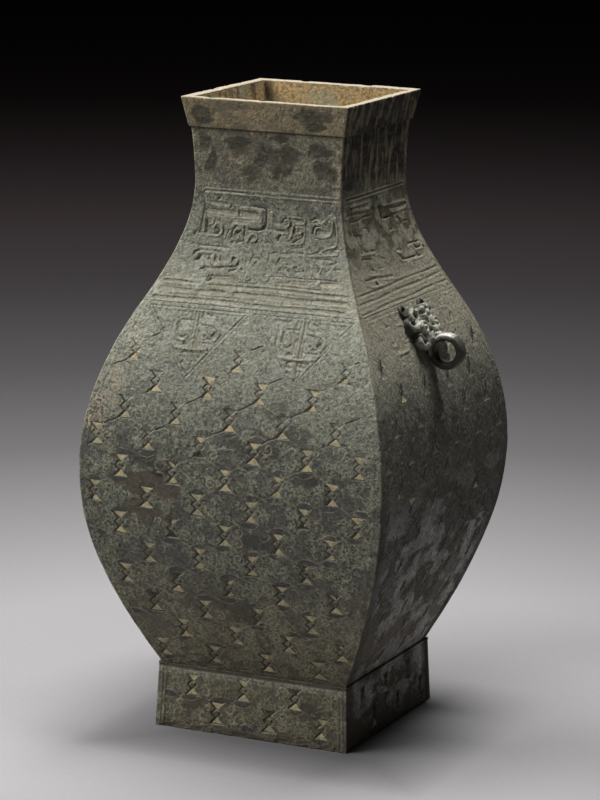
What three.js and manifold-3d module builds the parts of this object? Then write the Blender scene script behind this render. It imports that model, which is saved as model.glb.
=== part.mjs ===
// A square bronze wine jar with a narrow neck, a swelling belly and a hollow foot, standing on the
// plane z = 0 with +Z up and its axis on Z. The front face looks along -Y. A beast mask with a strap
// loop on its nose is fixed to each side face, at +X and at -X. All sizes are in millimetres.
import * as THREE from 'three';
import { mergeVertices } from 'three/addons/utils/BufferGeometryUtils.js';
import Module from 'manifold-3d';

const wasm = await Module();
wasm.setup();

// Heights, stacked from the ground up.
const footHeight = 41.5;
const bellyRise = 129.5; // from the foot to the widest level
const shoulderRise = 105; // from the widest level to the steepest part of the shoulder
const neckRise = 71; // from there to the narrowest level
const neckFlareHeight = 34.5; // from the narrowest level to the collar
const collarHeight = 18.5;

// Widths across the flat faces.
const footWidth = 133.6;
const footTopWidth = 130.4;
const bellyBottomWidth = 128;
const bellyWidth = 205.2;
const shoulderWidth = 145.6;
const neckWidth = 99.4;
const neckTopWidth = 103;

// How far the wall leans from upright, in degrees.
const bellyStartLean = 27;
const shoulderLean = 28.8;
const neckTopLean = 5;

// Thicknesses and edges.
const wall = 3.2;
const footWall = 4;
const floorThickness = 4;
const lipThickness = 6;
const collarStep = 1.2; // the collar stands out this far over the neck
const collarFlare = 3.8; // and the lip this far over the collar's lower edge
const arrisRadius = 1;
const seatGap = 0.3; // between two castings that touch

// Grooves that part the three ribs at the foot of the shoulder band.
const ribGrooveWidth = 2.2;
const ribGrooveDepth = 0.9;
const ribPitch = 5.1;
const ribGrooveCount = 3;
const ribTopRise = 12; // from the steepest part of the shoulder up to the top groove
const panelBorder = 5; // plain strip beside each arris

// Main strokes of the cast band on the neck. Each has its width and its corners, [across, down], in
// shares of the neck's half-width and of the height of the neck's curve. Side faces have them mirrored.
const strokeRelief = 0.9; // how far a stroke stands out of the wall or is sunk in it
const sunkStrokes = [
  { width: 3, path: [[-0.8, 0.25], [-0.38, 0.24]] },
  { width: 3.4, path: [[-0.31, 0.27], [-0.1, 0.275]] },
];
const raisedStrokes = [
  { width: 3.6, path: [[-0.32, 0.2], [-0.03, 0.2], [-0.01, 0.34], [-0.19, 0.345], [-0.2, 0.31]] },
  { width: 2.8, path: [[0.08, 0.22], [0.08, 0.31], [0.14, 0.345], [0.32, 0.34], [0.34, 0.31], [0.28, 0.28]] },
  { width: 1.6, path: [[0.36, 0.26], [0.54, 0.26], [0.57, 0.45], [0.38, 0.47]] },
  { width: 1.6, path: [[0.63, 0.25], [0.84, 0.225], [0.87, 0.375], [0.67, 0.39], [0.66, 0.315]] },
  { width: 2.4, path: [[-0.66, 0.625], [-0.64, 0.685], [-0.52, 0.71], [-0.34, 0.705], [-0.28, 0.66]] },
  { width: 1.6, path: [[0.72, 0.6], [0.83, 0.67], [0.91, 0.61], [0.86, 0.565]] },
];

// Mask, measured on the wall it is fixed to.
const maskDrop = 18; // below the steepest part of the shoulder
const maskHalfWidth = 24.5; // from the nose to the tip of an ear
const maskRise = 19; // from the centre up to the tip of a horn
const maskFall = 15.5; // from the centre down to the tip of the jaw
const maskHeight = 12; // of the face over the wall
const maskEdge = 5; // of the plate's rim over the wall
const chinThickness = 3;
const cord = 3.4; // thickness of the raised scrolls
const curlHole = 2.1; // radius of the hollow in a horn or an ear

// Strap loop that the nose turns into.
const loopHole = 13.6;
const loopStock = 5.8;
const loopWidth = 9;
const loopStandOff = 12.2; // centre of the hole from the wall
const loopDrop = 19.2; // centre of the hole below the centre of the mask

// Tenon behind each mask, and the solder bead that holds it inside the jar.
const tenonSize = 9;
const tenonEnd = 3; // what stands past the inside of the wall
const beadDiameter = 22;
const beadHeight = 4;

// Bronze spacers that kept the core off the mould and stayed in the floor.
const spacerSize = 12;
const spacerOffset = 36; // from the axis, along X and along Y

// Worked-out levels.
const bellyLevel = footHeight + bellyRise;
const shoulderLevel = bellyLevel + shoulderRise;
const neckLevel = shoulderLevel + neckRise;
const collarLevel = neckLevel + neckFlareHeight;
const lipLevel = collarLevel + collarHeight;
const floorLevel = footHeight;
const collarWidth = neckTopWidth + 2 * collarStep;
const mouthWidth = collarWidth + 2 * collarFlare;

const slopeOf = (degrees) => Math.tan(THREE.MathUtils.degToRad(degrees));

// Half-width of the body and its rate of change with height, on a Hermite curve through the stations.
const stations = [
  { z: footHeight, half: bellyBottomWidth / 2, slope: slopeOf(bellyStartLean) },
  { z: bellyLevel, half: bellyWidth / 2, slope: 0 },
  { z: shoulderLevel, half: shoulderWidth / 2, slope: -slopeOf(shoulderLean) },
  { z: neckLevel, half: neckWidth / 2, slope: 0 },
  { z: collarLevel, half: neckTopWidth / 2, slope: slopeOf(neckTopLean) },
];

function bodyAt(z) {
  let i = 0;
  while (i < stations.length - 2 && z > stations[i + 1].z) i += 1;
  const [a, b] = [stations[i], stations[i + 1]];
  const rise = b.z - a.z;
  const t = (z - a.z) / rise;
  const half = a.half * (2 * t ** 3 - 3 * t ** 2 + 1) + b.half * (3 * t ** 2 - 2 * t ** 3)
    + rise * (a.slope * (t ** 3 - 2 * t ** 2 + t) + b.slope * (t ** 3 - t ** 2));
  const slope = (a.half - b.half) * (6 * t ** 2 - 6 * t) / rise
    + a.slope * (3 * t ** 2 - 4 * t + 1) + b.slope * (3 * t ** 2 - 2 * t);
  return { half, slope };
}

const levelsBetween = (low, high, steps) =>
  Array.from({ length: steps + 1 }, (_, i) => low + (high - low) * i / steps);

// A square of the given half-width with round corners, as points going anticlockwise.
const cornerSteps = 2;
function squareSection(half, radius) {
  const r = Math.min(radius, half * 0.4);
  const points = [];
  for (let corner = 0; corner < 4; corner += 1) {
    const turn = corner * Math.PI / 2;
    const centre = new THREE.Vector2(half - r, half - r).rotateAround(new THREE.Vector2(), turn);
    for (let step = 0; step <= cornerSteps; step += 1) {
      const angle = turn + (step / cornerSteps) * Math.PI / 2;
      points.push(new THREE.Vector2(centre.x + r * Math.cos(angle), centre.y + r * Math.sin(angle)));
    }
  }
  return points;
}

// A closed solid through square sections {z, half}, listed upwards.
function squareLoft(profile, radius) {
  const rings = profile.map(({ z, half }) =>
    squareSection(half, radius).map((p) => [p.x, p.y, z]));
  const count = rings[0].length;
  const last = (rings.length - 1) * count;
  const index = [];
  for (let row = 0; row < rings.length - 1; row += 1) {
    for (let i = 0; i < count; i += 1) {
      const a = row * count + i;
      const b = row * count + (i + 1) % count;
      index.push(a, b, b + count, a, b + count, a + count);
    }
  }
  for (let i = 1; i < count - 1; i += 1) {
    index.push(0, i + 1, i);
    index.push(last, last + i, last + i + 1);
  }
  const geometry = new THREE.BufferGeometry();
  geometry.setAttribute('position', new THREE.Float32BufferAttribute(rings.flat(2), 3));
  geometry.setIndex(index);
  return geometry;
}

// three.js geometry to a solid, and back.
function toSolid(geometry, matrix = new THREE.Matrix4()) {
  const bare = new THREE.BufferGeometry();
  bare.setAttribute('position', geometry.getAttribute('position').clone());
  if (geometry.index) bare.setIndex(geometry.index.clone());
  const merged = mergeVertices(bare.applyMatrix4(matrix), 1e-4);
  return new wasm.Manifold(new wasm.Mesh({
    numProp: 3,
    vertProperties: new Float32Array(merged.getAttribute('position').array),
    triVerts: new Uint32Array(merged.index.array),
  }));
}

function toGeometry(solid) {
  const mesh = solid.getMesh();
  const geometry = new THREE.BufferGeometry();
  geometry.setAttribute('position', new THREE.BufferAttribute(new Float32Array(mesh.vertProperties), 3));
  geometry.setIndex(new THREE.BufferAttribute(new Uint32Array(mesh.triVerts), 1));
  geometry.computeVertexNormals();
  return geometry;
}

const moved = (x, y, z) => new THREE.Matrix4().makeTranslation(x, y, z);

// Outside of the body: foot, belly, shoulder and neck, then the collar that steps out over the neck.
const bodySteps = 36;
const bodyLevels = levelsBetween(footHeight, collarLevel, bodySteps);

function outerProfile(outset) {
  const section = (z, half) => ({ z, half: half + outset });
  return [
    section(0, footWidth / 2),
    section(footHeight, footTopWidth / 2),
    ...bodyLevels.map((z) => section(z, bodyAt(z).half)),
    section(collarLevel, collarWidth / 2),
    section(lipLevel, mouthWidth / 2),
  ];
}

// Inside of the body, a wall's thickness in from the outside all the way up to the lip.
function cavityProfile(inset) {
  const inner = (z) => {
    const { half, slope } = bodyAt(z);
    return half - (wall + inset) * Math.hypot(1, slope);
  };
  const overRun = 5;
  const lipHalf = mouthWidth / 2 - lipThickness - inset;
  const lean = (lipHalf - inner(collarLevel)) / collarHeight;
  return [
    ...levelsBetween(floorLevel + inset, collarLevel, bodySteps).map((z) => ({ z, half: inner(z) })),
    { z: lipLevel + overRun, half: lipHalf + lean * overRun },
  ];
}

function footHollowProfile() {
  const overRun = 5;
  const lean = (footTopWidth - footWidth) / 2 / footHeight;
  const halfAt = (z) => footWidth / 2 - footWall + lean * z;
  const top = floorLevel - floorThickness;
  return [{ z: -overRun, half: halfAt(-overRun) }, { z: top, half: halfAt(top) }];
}

// The place of a mask: its frame has X out of the wall and Z up along it.
const maskLevel = shoulderLevel - maskDrop;
const maskSeat = bodyAt(maskLevel);
const maskLean = Math.atan(-maskSeat.slope);
const maskFrame = new THREE.Matrix4()
  .makeRotationY(-maskLean)
  .setPosition(maskSeat.half, 0, maskLevel);
const halfTurn = new THREE.Matrix4().makeRotationZ(Math.PI);

function tenonHole(clearance) {
  const size = tenonSize + 2 * clearance;
  const reach = 2 * (wall + tenonEnd + beadHeight);
  return new THREE.BoxGeometry(reach, size, size);
}

function ribGrooves() {
  const cutters = [];
  for (let i = 0; i < ribGrooveCount; i += 1) {
    const z = shoulderLevel + ribTopRise - i * ribPitch;
    const { half, slope } = bodyAt(z);
    const bar = new THREE.BoxGeometry(2 * ribGrooveDepth, 2 * (half - panelBorder), ribGrooveWidth);
    const seat = new THREE.Matrix4().makeRotationY(Math.atan(slope)).setPosition(half, 0, z);
    for (let face = 0; face < 4; face += 1) {
      const turn = new THREE.Matrix4().makeRotationZ(face * Math.PI / 2);
      cutters.push(toSolid(bar, turn.multiply(seat)));
    }
  }
  return cutters;
}

// Bars that stand through the front wall along the legs of a stroke, for the face to be cut or joined.
function strokeBars({ width, path }, hand) {
  const places = path.map(([across, down]) =>
    new THREE.Vector2(hand * across * neckWidth / 2, neckLevel - down * neckRise));
  const reach = bellyWidth / 2;
  return places.slice(1).map((end, i) => {
    const leg = end.clone().sub(places[i]);
    const middle = end.clone().add(places[i]).multiplyScalar(0.5);
    const bar = new THREE.BoxGeometry(leg.length() + width, reach, width);
    const seat = new THREE.Matrix4().makeRotationY(-leg.angle()).setPosition(middle.x, -reach / 2, middle.y);
    return { bar, seat };
  });
}

function allStrokes(strokes) {
  const solids = [];
  for (let face = 0; face < 4; face += 1) {
    const turn = new THREE.Matrix4().makeRotationZ(face * Math.PI / 2);
    const hand = face % 2 === 0 ? 1 : -1;
    for (const stroke of strokes) {
      for (const { bar, seat } of strokeBars(stroke, hand)) {
        solids.push(toSolid(bar, turn.clone().multiply(seat)));
      }
    }
  }
  return wasm.Manifold.union(solids);
}

const spacerPlaces = [[1, 1], [-1, 1], [-1, -1], [1, -1]]
  .map(([x, y]) => [x * spacerOffset, y * spacerOffset]);

function makeVessel() {
  let solid = toSolid(squareLoft(outerProfile(0), arrisRadius))
    .subtract(toSolid(squareLoft(cavityProfile(0), arrisRadius)))
    .subtract(toSolid(squareLoft(footHollowProfile(), arrisRadius)));
  for (const cutter of ribGrooves()) solid = solid.subtract(cutter);
  const skin = toSolid(squareLoft(outerProfile(strokeRelief), arrisRadius))
    .subtract(toSolid(squareLoft(outerProfile(-strokeRelief), arrisRadius)));
  solid = solid.subtract(allStrokes(sunkStrokes).intersect(skin))
    .add(allStrokes(raisedStrokes).intersect(skin));
  for (const turn of [new THREE.Matrix4(), halfTurn]) {
    solid = solid.subtract(toSolid(tenonHole(seatGap), turn.clone().multiply(maskFrame)));
  }
  const pocket = spacerSize + 2 * seatGap;
  for (const [x, y] of spacerPlaces) {
    const cutter = new THREE.BoxGeometry(pocket, pocket, 3 * floorThickness);
    solid = solid.subtract(toSolid(cutter, moved(x, y, floorLevel - floorThickness / 2)));
  }
  return toGeometry(solid);
}

// Half of the mask's outline, from the forehead round a horn, an ear and the jaw to the chin. It is
// drawn in shares of the mask's half-width, and of its rise or its fall.
function maskOutline() {
  const half = new THREE.Path();
  const at = (across, up) => [across * maskHalfWidth, up * (up > 0 ? maskRise : maskFall)];
  half.moveTo(...at(0, 0.7));
  half.bezierCurveTo(...at(0.25, 0.7), ...at(0.3, 0.95), ...at(0.62, 1));
  half.bezierCurveTo(...at(0.95, 1.03), ...at(1.05, 0.66), ...at(0.78, 0.56));
  half.bezierCurveTo(...at(0.98, 0.58), ...at(1.02, 0.3), ...at(0.98, 0.16));
  half.bezierCurveTo(...at(0.94, -0.1), ...at(0.8, -0.12), ...at(0.72, -0.1));
  half.bezierCurveTo(...at(0.7, -0.5), ...at(0.62, -0.9), ...at(0.46, -1));
  half.bezierCurveTo(...at(0.36, -1), ...at(0.3, -0.8), ...at(0, -0.8));
  const right = half.getPoints(5);
  const left = right.slice(1, -1).reverse().map((p) => new THREE.Vector2(-p.x, p.y));
  return new THREE.Shape([...right, ...left]);
}

// Shapes drawn in the plane of the wall, (across, up), and raised out of it along X.
const wallPlane = new THREE.Matrix4().makeBasis(
  new THREE.Vector3(0, 1, 0), new THREE.Vector3(0, 0, 1), new THREE.Vector3(1, 0, 0),
);
function raised(shape, from, to, bevel = 0) {
  const geometry = new THREE.ExtrudeGeometry(shape, {
    depth: to - from - bevel,
    bevelEnabled: bevel > 0,
    bevelThickness: bevel,
    bevelSize: bevel,
    bevelOffset: -bevel,
    bevelSegments: 1,
    steps: 1,
    curveSegments: 8,
  });
  return toSolid(geometry, moved(from, 0, 0).multiply(wallPlane));
}

function ellipsoid(x, y, z, rx, ry, rz) {
  const shape = new THREE.SphereGeometry(1, 14, 9);
  return toSolid(shape, moved(x, y, z).scale(new THREE.Vector3(rx, ry, rz)));
}

// A round cord laid on the face: a curl about (y, z) that tightens from one angle to the other.
function scroll({ x, y, z, radius, start, end }, side) {
  const steps = 7;
  const points = Array.from({ length: steps + 1 }, (_, i) => {
    const t = i / steps;
    const angle = THREE.MathUtils.degToRad(start + (end - start) * t);
    const r = radius * (1 - 0.35 * t);
    return new THREE.Vector3(x, side * (y + r * Math.cos(angle)), z + r * Math.sin(angle));
  });
  const section = new THREE.Shape().absarc(0, 0, cord / 2, 0, 2 * Math.PI);
  return toSolid(new THREE.ExtrudeGeometry(section, {
    steps: 2 * steps,
    curveSegments: 4,
    extrudePath: new THREE.CatmullRomCurve3(points),
  }));
}

// The curls of one half, placed in shares of the mask's size as the outline is.
const onFace = (across, up, out) => ({
  x: out * maskHeight,
  y: across * maskHalfWidth,
  z: up * (up > 0 ? maskRise : maskFall),
});
const horn = { ...onFace(0.7, 0.78, 0.42), radius: curlHole + cord / 2, start: 215, end: -60 };
const ear = { ...onFace(0.8, 0.22, 0.45), radius: curlHole + cord / 2, start: 170, end: -120 };
const brow = { ...onFace(0.36, 0.46, 0.86), radius: 1.3 * cord, start: -15, end: 195 };
const jaw = { ...onFace(0.46, -0.6, 0.5), radius: 1.1 * cord, start: 80, end: -150 };
const eye = { ...onFace(0.36, 0.02, 0.84), radius: 0.95 * cord, start: 0, end: 350 };
const eyeball = onFace(0.36, 0.02, 0.8);

function strapLoop() {
  const outer = loopHole / 2 + loopStock;
  const ring = new THREE.Shape().absarc(0, 0, outer, 0, 2 * Math.PI);
  ring.holes.push(new THREE.Path().absarc(0, 0, loopHole / 2, 0, 2 * Math.PI));
  const bevel = 1.2;
  const geometry = new THREE.ExtrudeGeometry(ring, {
    depth: loopWidth - 2 * bevel,
    bevelEnabled: true,
    bevelThickness: bevel,
    bevelSize: bevel,
    bevelOffset: -bevel,
    bevelSegments: 1,
    curveSegments: 14,
  });
  const alongY = new THREE.Matrix4().makeRotationX(Math.PI / 2);
  return toSolid(
    geometry,
    moved(loopStandOff, loopWidth / 2 - bevel, -loopDrop).multiply(alongY),
  );
}

function cylinderAlong(turn, radius, x, y, z) {
  const length = 2 * (maskHalfWidth + maskHeight);
  return toSolid(new THREE.CylinderGeometry(radius, radius, length, 28), moved(x, y, z).multiply(turn));
}

function makeMask() {
  const outline = maskOutline();
  const domeRoot = maskHeight / 5;
  const dome = ellipsoid(domeRoot, 0, 0, maskHeight - domeRoot, 1.1 * maskHalfWidth, 1.3 * maskRise);
  const alongX = new THREE.Matrix4().makeRotationZ(Math.PI / 2);
  const below = -maskHeight / 2;
  let face = raised(outline, below, maskHeight).intersect(dome)
    .add(raised(outline, below, maskEdge, cord / 4))
    .add(ellipsoid(0.85 * maskHeight, 0, 0, loopStock / 2, loopWidth / 2.6, 0.75 * maskRise));
  for (const side of [-1, 1]) {
    for (const one of [horn, ear]) {
      face = face.subtract(cylinderAlong(alongX, curlHole, 0, side * one.y, one.z));
    }
    for (const one of [horn, ear, brow, jaw, eye]) face = face.add(scroll(one, side));
    face = face.add(ellipsoid(eyeball.x, side * eyeball.y, eyeball.z, cord / 2, cord / 2, cord / 2));
  }
  const alongY = new THREE.Matrix4();
  face = face.add(strapLoop())
    .subtract(cylinderAlong(alongY, loopHole / 2, loopStandOff, 0, -loopDrop));
  const toFrame = maskFrame.clone().invert();
  const wallOutside = toSolid(squareLoft(outerProfile(seatGap), arrisRadius), toFrame);
  const tenonLength = wall + tenonEnd + chinThickness;
  const tenon = new THREE.BoxGeometry(tenonLength, tenonSize, tenonSize);
  return toGeometry(face.subtract(wallOutside)
    .add(toSolid(tenon, moved(chinThickness - tenonLength / 2, 0, 0))));
}

// The bead of solder round the tenon's end, domed and square-holed, lying on the inside of the wall.
function makeBead() {
  const radius = beadDiameter / 2;
  const profile = [new THREE.Vector2(0, -wall)];
  for (let i = 0; i <= 6; i += 1) {
    const angle = i / 6 * Math.PI / 2;
    profile.push(new THREE.Vector2(radius * Math.cos(angle), beadHeight * Math.sin(angle)));
  }
  profile.splice(1, 0, new THREE.Vector2(radius, -wall));
  profile[profile.length - 1].x = 0;
  const inward = new THREE.Matrix4().makeRotationZ(Math.PI / 2);
  const dome = toSolid(new THREE.LatheGeometry(profile, 20), moved(-wall, 0, 0).multiply(inward));
  const cavity = toSolid(squareLoft(cavityProfile(seatGap), arrisRadius), maskFrame.clone().invert());
  return toGeometry(dome.intersect(cavity).subtract(toSolid(tenonHole(seatGap))));
}

const bronze = new THREE.MeshStandardMaterial({ color: 0x5f6754, roughness: 0.75, metalness: 0.35 });
const maskBronze = new THREE.MeshStandardMaterial({ color: 0x6d7168, roughness: 0.5, metalness: 0.6 });
const solder = new THREE.MeshStandardMaterial({ color: 0x8a8b86, roughness: 0.6, metalness: 0.5 });
const spacerBronze = new THREE.MeshStandardMaterial({ color: 0x6b5a3c, roughness: 0.7, metalness: 0.4 });

function piece(name, geometry, material) {
  const mesh = new THREE.Mesh(geometry, material);
  mesh.name = name;
  return mesh;
}

const vessel = new THREE.Group();
vessel.add(piece('vessel_body', makeVessel(), bronze));

const maskGeometry = makeMask();
const beadGeometry = makeBead();
for (const [side, angle] of [['right', 0], ['left', Math.PI]]) {
  const facing = new THREE.Group();
  facing.rotation.z = angle;
  const seat = new THREE.Group();
  seat.position.set(maskSeat.half, 0, maskLevel);
  seat.rotation.y = -maskLean;
  seat.add(piece(`mask_loop_${side}`, maskGeometry, maskBronze));
  seat.add(piece(`solder_bead_${side}`, beadGeometry, solder));
  facing.add(seat);
  vessel.add(facing);
}

spacerPlaces.forEach(([x, y], i) => {
  const spacer = piece(
    `floor_spacer_${i + 1}`,
    new THREE.BoxGeometry(spacerSize, spacerSize, floorThickness),
    spacerBronze,
  );
  spacer.position.set(x, y, floorLevel - floorThickness / 2);
  vessel.add(spacer);
});

export default vessel;
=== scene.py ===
"""A square ritual wine vessel of cast bronze: patina, inlaid hourglass ornament, neck bands and masks."""
import math
from functools import partial

import bpy
import numpy as np
from bpy.props import FloatProperty, FloatVectorProperty, IntProperty, PointerProperty
from mathutils import Matrix, Vector


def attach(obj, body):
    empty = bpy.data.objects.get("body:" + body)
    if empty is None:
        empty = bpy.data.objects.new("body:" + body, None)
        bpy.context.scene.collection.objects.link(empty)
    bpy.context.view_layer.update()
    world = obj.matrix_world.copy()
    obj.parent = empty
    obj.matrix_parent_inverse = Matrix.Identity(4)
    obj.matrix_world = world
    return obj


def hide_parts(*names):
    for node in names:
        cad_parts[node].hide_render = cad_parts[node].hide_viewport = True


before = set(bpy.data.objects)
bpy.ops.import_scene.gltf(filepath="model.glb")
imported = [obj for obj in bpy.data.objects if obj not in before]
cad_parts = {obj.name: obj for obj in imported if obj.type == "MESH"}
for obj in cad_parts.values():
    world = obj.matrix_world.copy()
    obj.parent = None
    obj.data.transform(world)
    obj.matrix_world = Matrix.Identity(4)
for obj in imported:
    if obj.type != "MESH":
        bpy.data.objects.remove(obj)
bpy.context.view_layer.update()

bl_info = {
    "name": "Bronze Wine Vessel",
    "version": (1, 0, 0),
    "blender": (4, 5, 0),
    "location": "View3D > Sidebar > Wine Vessel",
    "description": "Builds a square ritual wine vessel of cast and inlaid bronze",
    "category": "Add Mesh",
}

# The vessel's profile, in millimetres: level, half-width and slope at each station.
FOOT_TOP = 41.5
BELLY = 171.0
SHOULDER = 276.0
NECK = 347.0
COLLAR = 381.5
LIP = 400.0
STATIONS = (
    (FOOT_TOP, 64.0, math.tan(math.radians(27))),
    (BELLY, 102.6, 0.0),
    (SHOULDER, 72.8, -math.tan(math.radians(28.8))),
    (NECK, 49.7, 0.0),
    (COLLAR, 51.5, math.tan(math.radians(5))),
)
FOOT_HALF = (66.8, 65.2)  # at the ground and at its top
COLLAR_HALF = (52.7, 56.5)  # at its lower edge and at the lip
LIP_WIDTH = 6.0
LINING_TOP_HALF = 48.3
WALL = 3.2
FOOT_WALL = 4.0
FLOOR_BOTTOM = 37.5
PANEL_TOP = 275.0  # the belly's panels meet the neck's in a groove here
MASK_LEVEL = 258.0
MASK_BACK = -2.6  # how far a mask reaches into the wall
MM = 0.001


def linear(hex_colour):
    """An sRGB hex colour as linear red, green, blue and alpha."""
    parts = [int(hex_colour[i:i + 2], 16) / 255 for i in (1, 3, 5)]
    return [p / 12.92 if p <= 0.04045 else ((p + 0.055) / 1.055) ** 2.4 for p in parts] + [1.0]


def wall_at(z):
    """Half-width and slope of the body at levels z, on a Hermite curve through the stations."""
    z = np.asarray(z, float)
    half = np.zeros_like(z)
    slope = np.zeros_like(z)
    for low, high in zip(STATIONS, STATIONS[1:]):
        rise = high[0] - low[0]
        t = (z - low[0]) / rise
        here = (z >= low[0] - 1e-6) & (z <= high[0] + 1e-6)
        h = low[1] * (2 * t ** 3 - 3 * t ** 2 + 1) + high[1] * (3 * t ** 2 - 2 * t ** 3)
        h += rise * (low[2] * (t ** 3 - 2 * t ** 2 + t) + high[2] * (t ** 3 - t ** 2))
        g = (low[1] - high[1]) * (6 * t ** 2 - 6 * t) / rise
        g += low[2] * (3 * t ** 2 - 4 * t + 1) + high[2] * (3 * t ** 2 - 2 * t)
        half = np.where(here, h, half)
        slope = np.where(here, g, slope)
    return half, slope


MASK_HALF, MASK_SLOPE = (float(v) for v in wall_at(MASK_LEVEL))
MASK_LEAN = math.atan(-MASK_SLOPE)
LEVELS = np.linspace(FOOT_TOP, COLLAR, 1400)
RISES = np.hypot(np.diff(LEVELS), np.diff(wall_at(LEVELS)[0]))
ALONG = np.concatenate([[0.0], np.cumsum(RISES)])


def along_at(z):
    """Distance up the middle of a face from the foot to level z."""
    return np.interp(z, LEVELS, ALONG)


def level_at(along):
    return np.interp(along, ALONG, LEVELS)


def ramp(low, high, x):
    """Smooth step from 0 at low to 1 at high."""
    t = np.clip((x - low) / (high - low), 0, 1)
    return t * t * (3 - 2 * t)


LUMPS = np.random.default_rng(23).random((32, 32, 32)) * 2 - 1


def lumps(p, size, shift=0.0):
    """Smooth noise from -1 to 1 at points p, with lumps about size across."""
    q = p / size + shift
    low = np.floor(q).astype(int)
    f = q - low
    f = f * f * (3 - 2 * f)
    low &= 31
    high = (low + 1) & 31
    total = 0
    for ix, wx in ((low, 1 - f), (high, f)):
        for iy, wy in ((low, 1 - f), (high, f)):
            for iz, wz in ((low, 1 - f), (high, f)):
                weight = wx[..., 0] * wy[..., 1] * wz[..., 2]
                total = total + weight * LUMPS[ix[..., 0], iy[..., 1], iz[..., 2]]
    return total


def cast_surface(p):
    """Unevenness of old cast bronze, in millimetres: slow waves, dents and corrosion crust."""
    crust = lumps(p, 2.3, 5.1) * 0.5 + lumps(p, 1.1, 9.7) * 0.5
    spread = ramp(-0.25, 0.35, lumps(p, 17, 2.2) + 0.5 * lumps(p, 6, 3.9))
    return 0.28 * lumps(p, 33) + 0.12 * lumps(p, 9, 7.3) + 0.13 * crust * (0.35 + spread)


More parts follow.
